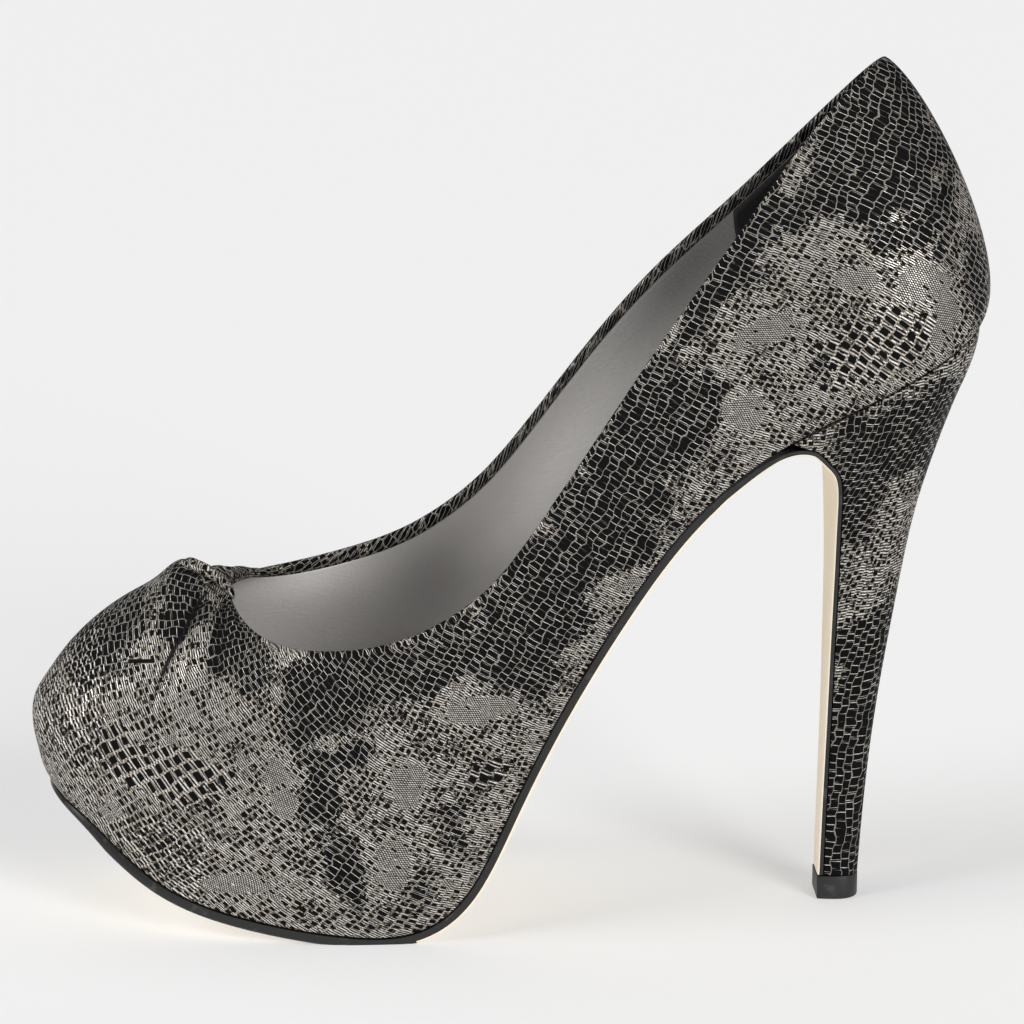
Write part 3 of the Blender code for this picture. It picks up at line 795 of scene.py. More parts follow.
def make_leather(name, pale, deep, roughness, metallic, wrinkle, toned=False):
    """Smooth leather: fine grain, short wrinkles lying along the shoe and slight changes of colour. One
    with painted light has painted shade and painted highlights in places."""
    material, g, shader = new_material(name)
    place = g.place()
    colour = g.tint(g.clouds(place, 45.0), deep, pale)
    # painted light and shade: the colour is scaled by the number given at each point
    if toned:
        colour = g.scaled(colour, g.number("tone"))
    squeezed = g.take("ShaderNodeMapping", 0, {"Vector": place, "Scale": (0.6, 1.0, 1.4)})
    height = g.clouds(place, 3200.0, 1.0) * 0.3 + g.clouds(squeezed, 1150.0, 2.0, 0.6) * wrinkle
    g.feed(shader, {
        "Base Color": colour,
        "Metallic": metallic,
        "Roughness": g.ramp(g.clouds(place, 90.0, 1.0), 0.25, 0.75, roughness - 0.04, roughness + 0.04),
        "Normal": g.bump(height, 0.6, 0.00025),
    })
    return material


def make_plain(name, colour, worn, roughness, grain_scale, bump_strength):
    """Edge paint, rubber or suede: one colour with worn spots and fine grain."""
    material, g, shader = new_material(name)
    place = g.place()
    wear = g.ramp(g.clouds(place, 220.0, 4.0, 0.6), 0.55, 0.75)
    grain = g.clouds(place, grain_scale)
    g.feed(shader, {
        "Base Color": g.tint(wear, colour, worn),
        "Roughness": g.ramp(grain, 0.2, 0.8, roughness - 0.08, roughness + 0.08),
        "Normal": g.bump(grain, bump_strength, 0.0002),
    })
    return material


FABRIC_LOOK = make_fabric(weave_cells())
LINING_LOOK = make_leather("lining_leather", (0.61, 0.595, 0.58), (0.53, 0.515, 0.50), 0.36, 0.20, 1.0,
                           toned=True)
SOCK_LOOK = make_leather("sock_leather", (0.78, 0.75, 0.725), (0.68, 0.65, 0.625), 0.42, 0.25, 1.0)
SOLE_LOOK = make_leather("sole_leather", (0.98, 0.89, 0.73), (0.94, 0.83, 0.65), 0.5, 0.0, 0.4)
EDGE_LOOK = make_plain("sole_edge", (0.009, 0.009, 0.009), (0.050, 0.047, 0.043), 0.34, 900.0, 0.15)
RUBBER_LOOK = make_plain("tip_rubber", (0.012, 0.012, 0.013), (0.05, 0.048, 0.045), 0.5, 1200.0, 0.25)
GRIP_LOOK = make_plain("heel_suede", (0.010, 0.010, 0.011), (0.020, 0.019, 0.019), 0.9, 2600.0, 0.5)
CORK_LOOK = make_plain("platform_core", (0.42, 0.36, 0.28), (0.30, 0.24, 0.18), 0.85, 500.0, 0.4)


class Ribs:
    """Ribs of the upper measured along their length, for a set of rib numbers."""

    def __init__(self, t):
        self.t = np.asarray(t, float)
        self.shares = np.linspace(0.0, 1.0, 161)
        self.reach = lengths(wall(self.t[:, None], self.shares[None, :]), axis=1)
        self.length = self.reach[:, -1]

    def share(self, up):
        """Share of each rib's length at the given distance (one for each rib) up from the sole edge."""
        up = np.broadcast_to(up, self.t.shape)
        return np.array([np.interp(d, reach, self.shares) for d, reach in zip(up, self.reach)])

    def layer(self, up, depth):
        """Points at a distance up each rib and a depth inside the outer face."""
        v = self.share(up)
        normal, _ = wall_frame(self.t, v)
        return wall(self.t, v) - normal * np.broadcast_to(depth, self.t.shape)[:, None]

    def bed_crossing(self, depth, lift):
        """Distance up each rib where a layer of the wall crosses the foot bed raised by lift."""
        result = []
        for t, reach in zip(self.t, self.reach):
            normal, _ = wall_frame(np.full(self.shares.shape, t), self.shares)
            points = wall(t, self.shares) - normal * depth
            above = points[:, 2] - bed_height(points[:, 0]) - lift
            crossing = int(np.argmax(above >= 0.0))
            if crossing == 0:
                result.append(0.0)
                continue
            share = above[crossing] / (above[crossing] - above[crossing - 1])
            result.append(reach[crossing] - share * (reach[crossing] - reach[crossing - 1]))
        return np.array(result)


FLAT_COLUMNS = 80           # coarse grid on which the upper is laid flat
FLAT_ROWS = 20
FLAT_STEPS = COLUMNS // FLAT_COLUMNS
FLAT_ROUNDS = 60
LIE_REACH = 11.0            # how far a lie of the floats is felt, millimetres
LIE_PULL = 0.85
MIDDLE_LIE = -25.0

# Lie of the floats on the outer side, seen from that side: place, and degrees above the level.
Lie = namedtuple("Lie", "x z angle")
LIES = [Lie(*row) for row in (
    (-103, 60, -92),
    (-93, 78, -112),
    (-83, 80, -117),
    (-89, 60, -89),
    (-96, 45, -69),
    (-89, 29, -65),
    (-82, 41, -59),
    (-78, 55, -74),
    (-75, 71, -97),
    (-66, 46, -64),
    (-66, 28, -56),
    (-58, 68, -66),
    (-60, 17, -58),
    (-48, 50, -43),
    (-48, 30, -42),
    (-43, 15, -45),
    (-41, 64, -40),
    (0, 71, -38),
    (15, 87, -38),
    (31, 108, -37),
    (88, 150, -37),
    (85, 137, -38),
    (100, 152, -57),
)]


def float_angle(points):
    """Lie of the floats at places on the outer side, in radians."""
    weight = np.full(points.shape[:-1], math.exp(-2.0))
    total = weight * MIDDLE_LIE
    for lie in LIES:
        away2 = (points[..., 0] - lie.x) ** 2 + (points[..., 2] - lie.z) ** 2
        near = np.exp(-away2 / LIE_REACH ** 2)
        weight = weight + near
        total = total + near * lie.angle
    return np.radians(total / weight)


def unit_turn(value):
    return value / np.abs(value)


def lay_flat():
    """Flat pattern of the upper, cut at the back of the heel: a complex number in millimetres for each
    column of ribs and each step up them, with its real axis along the threads. Lengths are kept as nearly
    as a doubly curved form and the lie of the floats allow."""
    ribs = Ribs(np.linspace(-RIBS, RIBS, FLAT_COLUMNS + 1))
    shares = np.linspace(0.0, 1.0, FLAT_ROWS + 1)
    points = np.stack([ribs.layer(share * ribs.length, 0.0) for share in shares], axis=1)
    high = FLAT_ROWS + 1
    count = len(points) * high
    triangles = []
    for c in range(FLAT_COLUMNS):
        for r in range(FLAT_ROWS):
            a = c * high + r
            b = a + high
            triangles.append((a, b, b + 1))
            triangles.append((a, b + 1, a + 1))
    triangles = np.array(triangles)
    corner = points.reshape(-1, 3)[triangles]
    first = corner[:, 1] - corner[:, 0]
    second = corner[:, 2] - corner[:, 0]
    base = np.linalg.norm(first, axis=1)
    normal = np.cross(first, second)
    above = np.linalg.norm(normal, axis=1) / base
    area = 0.5 * base * above
    apex = np.sum(first * second, axis=1) / base + 1j * above
    edges = np.stack([apex - base, -apex, base + 0j], axis=1)
    slopes = 1j * edges / (2.0 * area[:, None])

    # The lie that the floats wish for, in each triangle's own plane
    normal = unit(normal)
    facing = np.minimum(normal[:, 1], -0.05)
    angle = float_angle(corner.mean(axis=1))
    lie = np.stack([np.cos(angle), np.zeros(len(angle)), np.sin(angle)], axis=1)
    lie[:, 1] = -(normal[:, 0] * lie[:, 0] + normal[:, 2] * lie[:, 2]) / facing
    level = first / base[:, None]
    upright = np.cross(normal, level)
    lie = np.sum(lie * level, axis=1) + 1j * np.sum(lie * upright, axis=1)
    wish = -1j * np.conj(lie) / np.abs(lie)
    pull = LIE_PULL * smoothstep(-normal[:, 1], 0.25, 0.60)

    def gather(weights):
        matrix = np.zeros((count, count), weights.dtype)
        for j, k in itertools.product(range(3), repeat=2):
            np.add.at(matrix, (triangles[:, j], triangles[:, k]), weights[:, j, k])
        return matrix

    # A first pattern that keeps angles, then rounds that keep lengths
    system = gather(np.conj(edges)[:, :, None] * edges[:, None, :] / (2.0 * area)[:, None, None])
    pins = np.array([FLAT_COLUMNS // 2 * high, FLAT_COLUMNS // 2 * high + FLAT_ROWS])
    pinned = np.array([0.0, 1j * ribs.length[FLAT_COLUMNS // 2]])
    free = np.setdiff1d(np.arange(count), pins)
    flat = np.zeros(count, complex)
    flat[pins] = pinned
    flat[free] = np.linalg.solve(system[np.ix_(free, free)], -system[np.ix_(free, pins)] @ pinned)
    turn = np.sum(flat[triangles] * np.conj(slopes), axis=1)
    flat *= unit_turn(np.sum(pull * wish * np.conj(turn)))
    stiff = gather(np.real(slopes[:, :, None] * np.conj(slopes)[:, None, :]) * area[:, None, None])
    stiff[0, 0] += 1.0
    solver = np.linalg.inv(stiff)
    for _ in range(FLAT_ROUNDS):
        turn = unit_turn(np.sum(flat[triangles] * np.conj(slopes), axis=1))
        turn = unit_turn(turn * (1.0 - pull) + wish * pull)
        wanted = np.zeros(count, complex)
        for j in range(3):
            np.add.at(wanted, triangles[:, j], area * turn * slopes[:, j])
        wanted[0] += flat[0]
        flat = solver @ wanted
    return flat.reshape(FLAT_COLUMNS + 1, high)


def finer(grid):
    """Complex grid with smooth steps between its rows."""
    rows = natural_spline(np.concatenate([grid.real, grid.imag], axis=1), FLAT_STEPS)
    width = grid.shape[1]
    return rows[:, :width] + 1j * rows[:, width:]


def pattern_row(fine, up, length, columns):
    """Places on the flat pattern at a distance up each rib; past the collar it runs straight on."""
    share = np.clip(up / length, 0.0, 1.0) * (len(fine) - 1)
    low = np.minimum(share.astype(int), len(fine) - 2)
    part = share - low
    value = fine[low, columns] * (1.0 - part) + fine[low + 1, columns] * part
    ahead = fine[-1, columns] - fine[-3, columns]
    return value + unit_turn(ahead) * np.maximum(up - length, 0.0)


def fold_relief(t, v, points):
    """Height that the folds and the nose of the toe add to the outer face, and the distance from the edge
    of the nearest painted crease shadow (below zero inside it), in millimetres."""
    signed = (t + RIBS) % RIBS_ROUND - RIBS
    front = np.exp(-(signed / NOSE_RIBS) ** 2)
    relief = front * sum(b.height * np.exp(-((v - b.v) / b.half) ** 2) for b in NOSE)
    slit = np.full(t.shape, NO_CREASE_SHADOW)
    reached = (np.abs(signed) < FOLDS_RIBS) & (v > FOLDS_ABOVE)
    if not reached.any():
        return relief, slit
    p = points[reached]
    ribs = signed[reached]
    shares = v[reached]
    total = np.zeros(len(p))
    closest = np.full(len(p), NO_CREASE_SHADOW)
    for fold in FOLDS:
        path = natural_spline([(*point, height) for point, height in zip(fold.points, fold.heights)], 10)
        line = wall(path[:, 0], path[:, 1])
        sign = 1.0 if fold.points[-1][0] > 0.0 else -1.0
        nearest = np.full(len(p), 1e9)
        height = np.zeros(len(p))
        heelward = np.zeros(len(p), bool)
        for k in range(len(line) - 1):
            step = line[k + 1] - line[k]
            part = np.clip(np.sum((p - line[k]) * step, axis=1) / np.dot(step, step), 0.0, 1.0)
            gap = np.linalg.norm(p - line[k] - part[:, None] * step, axis=1)
            closer = gap < nearest
            turn = path[k + 1] - path[k]
            side = turn[0] * (shares - path[k, 1]) - turn[1] * (ribs - path[k, 0])
            nearest = np.where(closer, gap, nearest)
            height = np.where(closer, path[k, 2] + part * turn[2], height)
            heelward = np.where(closer, side * sign > 0.0, heelward)
        half = np.where(heelward, fold.heel_half, fold.toe_half)
        total += height * np.exp(-(nearest / half) ** 2)
        if fold.slit:
            # painted crease shadow: a dark line along the deepest part of each crease that has one
            closest = np.minimum(closest, nearest - fold.slit * np.clip(-height / FULL_SHADOW_DEPTH, 0.0, 1.0))
    shallow = SOFT_DEPTH - DEEPEST
    deep = np.minimum(total - shallow, 0.0)
    relief[reached] += np.maximum(total, shallow) + SOFT_DEPTH * np.tanh(deep / SOFT_DEPTH)
    slit[reached] = closest
    return relief, slit


def make_upper():
    """Fabric of the upper: outer face, roll of the collar, band inside it and back of the cloth."""
    t = np.arange(COLUMNS + 1) * RIBS_ROUND / COLUMNS
    ribs = Ribs(t)
    rows = []
    heights = []
    shades = {}
    crease_shadows = {}
    foot = wall(t, np.zeros(len(t)))
    foot_normal, foot_climb = wall_frame(t, np.zeros(len(t)))
    for turn in np.linspace(math.pi / 2.0, 0.0, 5)[:-1]:
        inward = FOOT_ROUND * (math.cos(turn) - 1.0)
        up = FOOT_ROUND * (1.0 - math.sin(turn))
        rows.append(foot + foot_normal * inward + foot_climb * up)
        heights.append(np.full(len(t), up))
    shares = np.concatenate([np.linspace(0.0, CLOSE_FROM, LOW_ROWS, endpoint=False),
                             np.linspace(CLOSE_FROM, 1.0, HIGH_ROWS)])
    for share in shares:
        up = FOOT_ROUND + share * (ribs.length - COLLAR_ROUND - FOOT_ROUND)
        v = ribs.share(up)
        normal, _ = wall_frame(t, v)
        points = wall(t, v)
        relief, crease_shadows[len(rows)] = fold_relief(t, v, points)
        # painted shade: the cloth is darkened by the depth of each crease
        shades[len(rows)] = np.clip(-relief / DEEPEST, 0.0, 1.0) * (v > FOLDS_ABOVE)
        rows.append(points + normal * relief[:, None])
        heights.append(up)
    wall_rows = len(rows)
    top = wall(t, np.ones(len(t)))
    top_normal, top_climb = wall_frame(t, np.ones(len(t)))
    for turn in np.linspace(0.0, math.pi, 11)[1:]:
        out = COLLAR_ROUND * (math.cos(turn) - 1.0)
        up = COLLAR_ROUND * (math.sin(turn) - ROLL_SINK)
        rows.append(top + top_normal * out + top_climb * up)
        heights.append(ribs.length - COLLAR_ROUND + COLLAR_ROUND * turn)
    rolled = heights[-1]
    for down in np.linspace(0.4, BAND_WIDTH, 4):
        rows.append(ribs.layer(ribs.length - COLLAR_ROUND - down, BAND_DEPTH))
        heights.append(rolled + down)
    edge = ribs.length - UNDER_BAND
    for share in np.linspace(1.0, 0.0, 8):
        rows.append(ribs.layer(share * edge, FABRIC))
        heights.append(rolled + BAND_WIDTH + 1.0 + (1.0 - share) * edge)
    heights.append(heights[-1] + 1.0)
    count = len(rows)
    verts = np.stack(rows)[:, :COLUMNS].reshape(-1, 3)
    piece = add_object("upper_fabric", verts, quads(count, COLUMNS, True, True).tolist(), [FABRIC_LOOK])

    # The flat pattern is cut at the heel, so the two sides of the shoe read it from its two halves
    half = COLUMNS // 2
    order = np.arange(COLUMNS + 1)
    fine = finer(finer(lay_flat()).T)
    sides = []
    for columns in (np.minimum(order + half, COLUMNS), np.maximum(order - half, 0)):
        place = np.stack([pattern_row(fine, up, ribs.length, columns) for up in heights])
        sides.append(np.stack([place[:-1, :-1], place[:-1, 1:], place[1:, 1:], place[1:, :-1]], axis=-1))
    corners = np.where((order[:-1] < half)[None, :, None], *sides).ravel()
    set_uv(piece, np.stack([corners.real, corners.imag], axis=1))

    dark, big = weave_zones(verts, UPPER_PATCHES)
    dark = dark.reshape(count, COLUMNS)
    dark[wall_rows:, half:] = BAND_DARK + 0.25 * (dark[wall_rows:, half:] - BASE_DARK)
    # painted shade: the creases darkened by their depth, and the painted crease shadows
    shade = np.zeros((count, COLUMNS))
    slit = np.full((count, COLUMNS), NO_CREASE_SHADOW)
    for row in shades:
        shade[row] = shades[row][:COLUMNS]
        slit[row] = crease_shadows[row][:COLUMNS]
    under = smoothstep(verts[:, 0], -64.0, -76.0) * smoothstep(verts[:, 2], 36.0, 26.0)
    coarse = np.maximum(under, smoothstep(verts[:, 0], -88.0, -99.0))
    set_numbers(piece, zone=dark, big=big, shade=shade, slit=slit, coarse=coarse)
    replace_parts(piece, "upper")


LINING_EDGE = 0.3           # rounding of the lining's upper edge


def make_lining():
    """Leather lining from the collar band down past the foot bed, as a closed layer."""
    ribs = Ribs(np.arange(LINING_COLUMNS) * RIBS_ROUND / LINING_COLUMNS)
    top = ribs.length - UNDER_BAND
    round_from = top - LINING_EDGE
    low = ribs.bed_crossing(LINING_IN, 0.6)
    rows = [ribs.layer(top - 0.05, LINING_OUT + 0.05)]
    for turn in np.linspace(math.pi / 2.0, 0.0, 4):
        rows.append(ribs.layer(round_from + LINING_EDGE * math.sin(turn),
                               LINING_IN - LINING_EDGE + LINING_EDGE * math.cos(turn)))
    for share in np.linspace(0.0, 1.0, LINING_ROWS)[1:]:
        rows.append(ribs.layer(round_from * (1.0 - share) + low * share, LINING_IN))
    for share in np.linspace(0.0, 1.0, 6):
        rows.append(ribs.layer(low * (1.0 - share) + (top - 0.4) * share, LINING_OUT))
    verts = np.concatenate(rows)
    faces = np.roll(quads(len(rows), LINING_COLUMNS, True, True), -1, axis=1)
    piece = add_object("upper_lining", verts, faces.tolist(), [LINING_LOOK])
    # painted light and shade on the lining
    set_numbers(piece, tone=lining_tones(verts))


GRIP_FROM = 12.1            # rib where the black heel lining starts on each side
GRIP_THICK = 0.45
GRIP_COLUMNS = 120
GRIP_ROWS = 24


def make_heel_grip():
    """Black suede lining round the heel, laid on the leather."""
    ribs = Ribs(np.linspace(GRIP_FROM, RIBS_ROUND - GRIP_FROM, GRIP_COLUMNS))
    top = ribs.length - COLLAR_ROUND - BAND_WIDTH - 0.35
    low = ribs.bed_crossing(LINING_IN, INSOLE_THICK - 0.5)
    rows = []
    for shares, depth in ((np.linspace(0.0, 1.0, GRIP_ROWS), LINING_IN + GRIP_THICK),
                          (np.linspace(1.0, 0.0, 5), LINING_IN + 0.03)):
        rows += [ribs.layer(low * (1.0 - s) + top * s, depth) for s in shares]
    faces = quads(len(rows), GRIP_COLUMNS, True, False)[:, ::-1].tolist()
    first = [r * GRIP_COLUMNS for r in range(len(rows))]
    faces.append([spot + GRIP_COLUMNS - 1 for spot in first])
    faces.append(first[::-1])
    piece = add_object("heel_grip", np.concatenate(rows), faces, [GRIP_LOOK])


SOCK_STEPS = 8
SOCK_ACROSS = 17
SOCK_EDGE = 0.35
SOCK_ENDS = 0.12            # how far from the first and last rib it starts, and its clearance


def make_sock():
    """Leather-covered foot bed."""
    t = np.linspace(SOCK_ENDS, RIBS - SOCK_ENDS, RIBS * SOCK_STEPS)
    depth = LINING_IN + SOCK_ENDS
    edges = {}
    for name, rib in (("lateral", t), ("medial", RIBS_ROUND - t)):
        ribs = Ribs(rib)
        for level, lift in (("low", 0.0), ("side", INSOLE_THICK - SOCK_EDGE), ("high", INSOLE_THICK)):
            points = ribs.layer(ribs.bed_crossing(depth, lift), depth)
            points[:, 2] = bed_height(points[:, 0]) + lift
            edges[name, level] = points
    share = np.linspace(0.0, 1.0, SOCK_ACROSS)[:, None]
    rings = []
    for k in range(len(t)):
        a = edges["lateral", "high"][k]
        b = edges["medial", "high"][k]
        pull = SOCK_EDGE * unit(b - a)
        top = (a + pull) * (1.0 - share) + (b - pull) * share
        top[:, 2] = bed_height(top[:, 0]) + INSOLE_THICK
        bottom = edges["medial", "low"][k] * (1.0 - share[::4]) + edges["lateral", "low"][k] * share[::4]
        bottom[:, 2] = bed_height(bottom[:, 0])
        ring = [edges["lateral", "side"][k:k + 1], top, edges["medial", "side"][k:k + 1], bottom]
        rings.append(np.concatenate(ring))
    faces, verts = tube(rings)
    piece = add_object("sock", verts, faces, [SOCK_LOOK])
    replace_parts(piece, "insole")


HEEL_STEPS = 14
HEEL_SIDE = 14
HEEL_BACK = 34
HEEL_OFFSET = 1500.0        # where the heel's cloth lies in the weave's map
HEEL_SHADE = 0.12           # the heel's cloth is a little darker
HEEL_UP = 0.74              # the weave is stretched up the heel
HEEL_ROUND_IT = 1.08        # and drawn in a little round it


def heel_ring(front, back, front_half, most_half):
    """Outline of a heel section between two (x, z): flat breast, sides that swell a little, round back."""
    swell = np.linspace(0.0, HEEL_WIDEST_AT, HEEL_SIDE)
    turn = np.linspace(0.0, math.pi / 2.0, HEEL_BACK)[1:]
    half = front_half + (most_half - front_half) * np.sin(math.pi / 2.0 * swell / HEEL_WIDEST_AT)
    back_share = np.sin(turn) ** (2.0 / HEEL_ROUND)
    share = np.concatenate([swell, HEEL_WIDEST_AT + (1.0 - HEEL_WIDEST_AT) * back_share])
    half = np.concatenate([half, most_half * np.cos(turn)])
    share = np.concatenate([share, share[-2::-1]])
    half = np.concatenate([-half, half[-2::-1]])
    x, z = (a * (1.0 - share) + b * share for a, b in zip(front, back))
    return np.stack([x, half, z], axis=1)


def heel_rows():
    return [Section(*row) for row in natural_spline(HEEL_SECTIONS, HEEL_STEPS)]


def make_heel():
    rings = [heel_ring((row.front_x, row.front_z), (row.back_x, row.back_z), row.front_half, row.most_half)
             for row in heel_rows()]
    points = np.stack(rings)
    around = lengths(points, axis=1)
    around -= 0.5 * around[:, -1:]
    faces, verts = tube(rings)
    piece = add_object("heel_cover", verts, faces, [FABRIC_LOOK], sharp=50.0)
    corners = np.concatenate(faces)
    u = HEEL_OFFSET - HEEL_UP * points[..., 2].ravel()[corners]
    set_uv(piece, np.stack([u, HEEL_ROUND_IT * around.ravel()[corners]], axis=1))
    dark, _ = weave_zones(verts, HEEL_PATCHES)
    set_numbers(piece, zone=dark, big=0.0, slit=NO_CREASE_SHADOW, shade=HEEL_SHADE)
    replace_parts(piece, "heel")


# Profile of the top piece: height, how far it flares out and how far its rounded edges draw in
TIP_ROWS = (
    (0.0, TIP_FLARE, 0.35),
    (0.12, TIP_FLARE, 0.1),
    (0.4, TIP_FLARE, 0.0),
    (TIP_HEIGHT / 2.0, TIP_FLARE / 2.0, 0.0),
    (TIP_HEIGHT - 0.3, 0.0, 0.0),
    (TIP_HEIGHT - 0.06, 0.0, 0.08),
    (TIP_HEIGHT, 0.0, 0.25),
)


def make_top_piece():
    last = HEEL_SECTIONS[-1]
    rings = []
    for z, flare, pull in TIP_ROWS:
        rings.append(heel_ring((TIP_FRONT + pull, z), (TIP_BACK - pull, z),
                               last.front_half + flare - pull, last.most_half + flare - pull))
    faces, verts = tube(rings)
    piece = add_object("top_piece", verts, faces, [RUBBER_LOOK], sharp=50.0)
    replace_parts(piece, "heel_tip")


SOLE_START = 0.06           # first rib of the sole
SOLE_STEPS = 14
SOLE_ACROSS = 15
BRIDGE = 8                  # steps from the sole's last rib to its first row on the heel
BEND = 9                    # how far the round bend reaches each way, in steps
BEND_PASSES = 30
PAINTED = 0.68              # share of the sole's edge that is painted black
BEVEL = 0.67
PAINTED_UNDER = -22.0       # in front of this the rolled rim is painted too

# The sole's side from its upper edge to its rolled rim: share of its thickness, and of the bevel
SOLE_SIDE = ((0.0, 0.0), (PAINTED * 0.5, 0.0), (PAINTED, 0.03), (0.85, 0.12), (0.95, 0.30))


def make_sole():
    """Leather sole with a painted edge and a rolled lower rim, bent over the heel breast."""
    ribs = np.linspace(SOLE_START, FLAP_JOIN, int(FLAP_JOIN * SOLE_STEPS))
    x, lateral, z = (curve(ribs) for curve in FOOT_CURVES)
    sole = np.stack([x, z, lateral, FOOT_CURVES[1](RIBS_ROUND - ribs)], axis=1)
    flap_rows = heel_rows()[FLAP_FIRST_ROW * HEEL_STEPS // 2:]
    flap = np.array([[h.front_x, h.front_z, -h.front_half, h.front_half] for h in flap_rows])
    bridge = [sole[-1] + (flap[0] - sole[-1]) * k / BRIDGE for k in range(1, BRIDGE)]
    path = np.concatenate([sole, bridge, flap])
    low = len(sole) - BEND
    high = len(sole) + BRIDGE + BEND
    for _ in range(BEND_PASSES):
        path[low:high] = 0.25 * (path[low - 1:high - 1] + 2.0 * path[low:high] + path[low + 1:high + 1])
    along = unit(np.gradient(path[:, :2], axis=0))
    for _ in range(6):
        along[1:-1] = unit(along[:-2] + 2.0 * along[1:-1] + along[2:])
    down = np.stack([along[:, 1], -along[:, 0]], axis=1)
    reach = lengths(path[:, :2])
    thick = np.interp(reach, np.interp(SOLE_EDGE_X, sole[:, 0], reach[:len(sole)]), SOLE_EDGE_THICK)
    share = np.linspace(0.0, 1.0, SOLE_ACROSS)
    rings = []
    for (x, z, lateral, medial), (dx, dz), edge in zip(path, down, thick):
        bevel = BEVEL * edge

        def place(depth, y):
            lift = GAP + depth * edge
            return (x + dx * lift, y, max(0.0, z + dz * lift))

        top = [place(0.0, lateral + (medial - lateral) * s) for s in share]
        right = [place(depth, medial - inset * bevel) for depth, inset in SOLE_SIDE[1:]]
        bottom = [place(1.0, medial - bevel - (medial - lateral - 2.0 * bevel) * s) for s in share]
        left = [place(depth, lateral + inset * bevel) for depth, inset in SOLE_SIDE[:0:-1]]
        rings.append(np.array(top + right + bottom + left))
    faces, verts = tube(rings)
    width = len(rings[0])
    right_paint = SOLE_ACROSS + 1
    right_rim = SOLE_ACROSS + len(SOLE_SIDE) - 1
    left_rim = right_rim + SOLE_ACROSS - 1
    left_paint = left_rim + len(SOLE_SIDE) - 2
    slots = []
    for face in faces:
        if len(face) > 4:
            slots.append(1)
            continue
        columns = sorted(v % width for v in face)
        column = columns[-1] if columns[0] == 0 and columns[-1] == width - 1 else columns[0]
        painted = column < right_paint or column >= left_paint
        rim = column < right_rim or column >= left_rim
        front = np.mean(verts[face, 0]) < PAINTED_UNDER
        slots.append(1 if painted or (rim and front) else 0)
    piece = add_object("sole_sheet", verts, faces, [SOLE_LOOK, EDGE_LOOK], slots, sharp=35.0)
    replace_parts(piece, "outsole")


# Knot strands: rib, share of the rib's length, height over the vamp, width and thickness
OVER_STRAND = (
    (-1.35, 0.730, -0.9, 4.6, 1.2),
    (-0.85, 0.785, 1.2, 5.0, 2.2),
    (-0.35, 0.830, 2.1, 4.8, 2.5),
    (-0.05, 0.868, 2.0, 4.4, 2.4),
    (0.18, 0.908, 1.7, 4.0, 2.2),
    (0.40, 0.948, 1.2, 3.6, 2.0),
    (0.62, 0.990, 0.5, 3.2, 1.7),
)
UNDER_STRAND = (
    (0.35, 0.860, -0.6, 4.2, 1.4),
    (-0.05, 0.905, 0.6, 4.6, 2.0),
    (-0.50, 0.940, 1.1, 4.8, 2.3),
    (-0.95, 0.962, 1.1, 4.4, 2.2),
    (-1.45, 0.974, 0.8, 3.8, 1.9),
    (-2.05, 0.982, 0.5, 3.2, 1.6),
    (-2.75, 0.986, -0.4, 2.6, 1.2),
)
STRAND_STEPS = 14
STRAND_RING = 40
STRAND_PLEATS = 5
# Way of a tucked strand over the collar's edge, from its last row: millimetres up and out, share of the
# edge's climb and normal in the way it faces, and shares of its width and thickness
TUCK = (
    (0.9, -0.6, 1.0, 1.0, 0.96, 0.9),
    (0.6, -1.9, 1.0, -0.6, 0.92, 0.8),
    (-2.0, -2.4, 0.0, -1.0, 0.85, 0.6),
)


def make_strand(name, table, offset, dark_level, turn, tucked):
    """Pleated strand of the knot, flat against the vamp. A tucked one ends over the collar's edge, and the
    other runs out along it."""
    t, v, lift, width, thick = natural_spline(table, STRAND_STEPS).T
    v = np.minimum(v, 1.0)
    normal, climb = wall_frame(t, v)
    centre = wall(t, v) + normal * lift[:, None]
    if tucked:
        up, out, climbs, faces_out, wide, high = np.array(TUCK).T[:, :, None]
        centre = np.concatenate([centre, centre[-1] + climb[-1] * up + normal[-1] * out])
        normal = np.concatenate([normal, unit(climb[-1] * climbs + normal[-1] * faces_out)])
        width = np.concatenate([width, width[-1] * wide[:, 0]])
        thick = np.concatenate([thick, thick[-1] * high[:, 0]])
    tangent = unit(np.gradient(centre, axis=0))
    side = unit(np.cross(tangent, normal))
    normal = np.cross(side, tangent)
    reach = lengths(centre)
    angle = np.linspace(0.0, TURN, STRAND_RING, endpoint=False)
    rings = []
    for k in range(len(centre)):
        pleat = 1.0 + 0.16 * np.cos(STRAND_PLEATS * angle + turn * reach[k])
        across = 0.5 * width[k] * np.cos(angle)
        over = 0.5 * thick[k] * np.sign(np.sin(angle)) * np.abs(np.sin(angle)) ** 0.8 * pleat
        rings.append(centre[k] + np.outer(across, side[k]) + np.outer(over, normal[k]))
    faces, verts = tube(rings)
    corners = []
    for face in faces:
        ring = [divmod(vertex, STRAND_RING) for vertex in face]
        columns = {k for _, k in ring}
        wrap = len(face) == 4 and {0, STRAND_RING - 1} <= columns
        for r, k in ring:
            k = STRAND_RING if wrap and k == 0 else k
            around = 2.2 * width[r] * k / STRAND_RING
            corners.append((offset + 0.8 * reach[r] + 0.6 * around, 0.8 * around - 0.6 * reach[r]))
    piece = add_object(name, verts, faces, [FABRIC_LOOK])
    set_uv(piece, corners)
    set_numbers(piece, zone=dark_level + 0.4 * (noise(verts, 2.2, 9) - 0.5), big=0.0, slit=NO_CREASE_SHADOW)
    return piece


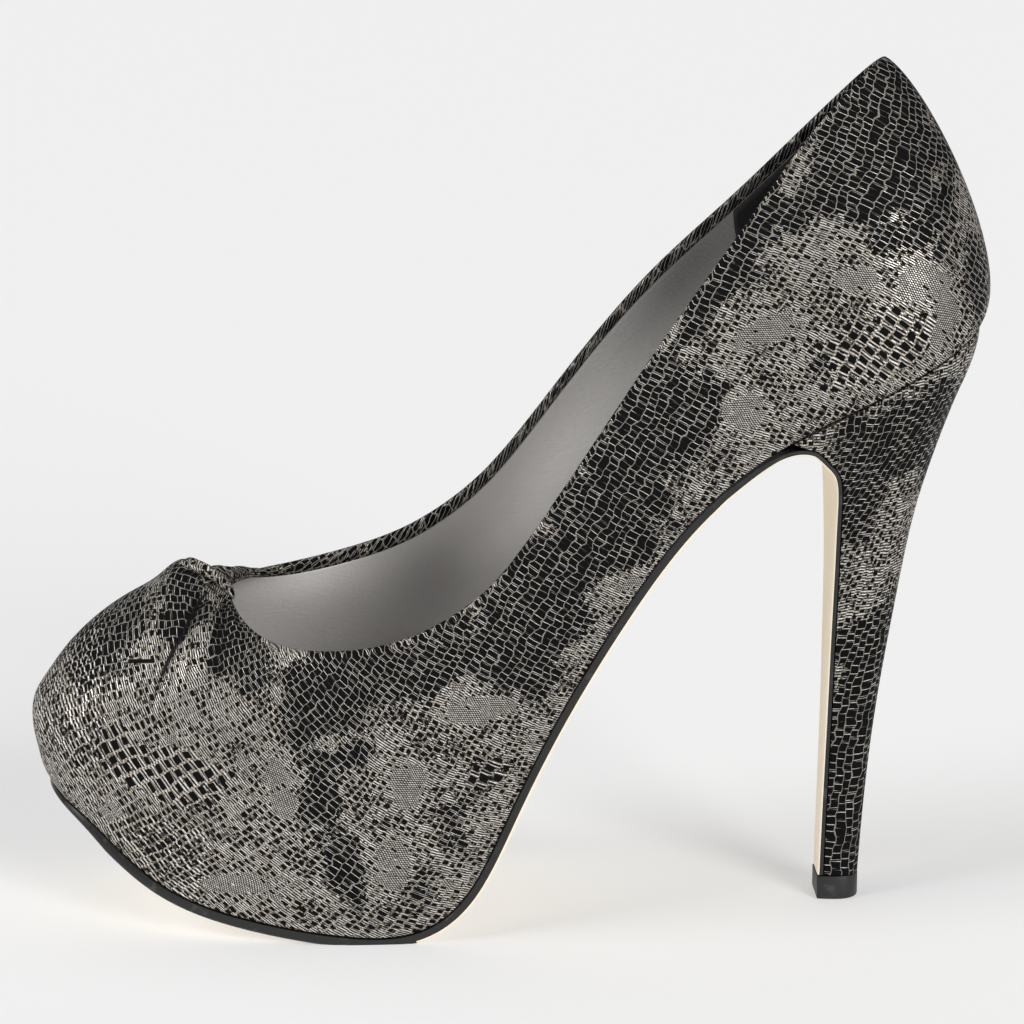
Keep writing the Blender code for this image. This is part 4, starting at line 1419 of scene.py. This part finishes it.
make_upper()
make_lining()
make_heel_grip()
make_sock()
make_heel()
make_top_piece()
make_sole()
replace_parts(make_strand("knot_over", OVER_STRAND, 2000.0, 0.33, 0.25, True), "knot")
make_strand("knot_under", UNDER_STRAND, 2200.0, 0.58, -0.2, False)
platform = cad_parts["platform"]
platform.data.materials.clear()
platform.data.materials.append(CORK_LOOK)

# Floor, light and camera
FLOOR_HALF = 6.0
floor_mesh = bpy.data.meshes.new("floor")
floor_mesh.from_pydata([(-FLOOR_HALF, -FLOOR_HALF, 0.0), (FLOOR_HALF, -FLOOR_HALF, 0.0),
                        (FLOOR_HALF, FLOOR_HALF, 0.0), (-FLOOR_HALF, FLOOR_HALF, 0.0)], [], [(0, 1, 2, 3)])
floor = bpy.data.objects.new("floor", floor_mesh)
bpy.context.scene.collection.objects.link(floor)
floor_look, floor_graph, floor_shader = new_material("floor")
floor_graph.feed(floor_shader, {
    "Base Color": (0.56, 0.56, 0.56, 1.0),
    "Emission Color": (1.0, 1.0, 1.0, 1.0),
    "Emission Strength": 0.39,
    "Roughness": 0.8,
    "Specular IOR Level": 0.1,
})
floor_mesh.materials.append(floor_look)

world = bpy.data.worlds.new("studio")
world.use_nodes = True
sky = Graph(world.node_tree)
sky.feed(world.node_tree.nodes["Background"], {"Color": (1.0, 1.0, 1.0, 1.0), "Strength": 0.17})
bpy.context.scene.world = world

# Broad distant lights: where each shines from, its spread in degrees and its strength.
Lamp = namedtuple("Lamp", "name azimuth elevation spread strength")
LAMPS = (
    Lamp("right", 31.0, 24.0, 24.0, 1.90),
    Lamp("left", -72.0, 30.0, 34.0, 1.75),
    Lamp("top", 170.0, 75.0, 50.0, 0.55),
)


def away(azimuth, elevation):
    """Unit vector towards the viewer's place for an azimuth and an elevation in degrees."""
    a = math.radians(azimuth)
    e = math.radians(elevation)
    return Vector((math.sin(a) * math.cos(e), -math.cos(a) * math.cos(e), math.sin(e)))


for lamp in LAMPS:
    light = bpy.data.lights.new(lamp.name, "SUN")
    light.energy = lamp.strength
    light.angle = math.radians(lamp.spread)
    holder = bpy.data.objects.new(lamp.name, light)
    holder.rotation_euler = away(lamp.azimuth, lamp.elevation).to_track_quat("Z", "Y").to_euler()
    bpy.context.scene.collection.objects.link(holder)

CAMERA_AZIMUTH = -2.5
CAMERA_ELEVATION = 14.0
CAMERA_DISTANCE = 1.0465
CAMERA_AIM = Vector((0.00125, 0.0, 0.094145))
CAMERA_LENS = 158.2
back = away(CAMERA_AZIMUTH, CAMERA_ELEVATION)
camera_data = bpy.data.cameras.new("camera")
camera_data.lens = CAMERA_LENS
camera_data.sensor_width = 36.0
camera = bpy.data.objects.new("camera", camera_data)
camera.location = CAMERA_AIM + back * CAMERA_DISTANCE
camera.rotation_euler = back.to_track_quat("Z", "Y").to_euler()
bpy.context.scene.collection.objects.link(camera)
bpy.context.scene.camera = camera
bpy.context.scene.view_settings.view_transform = "Standard"
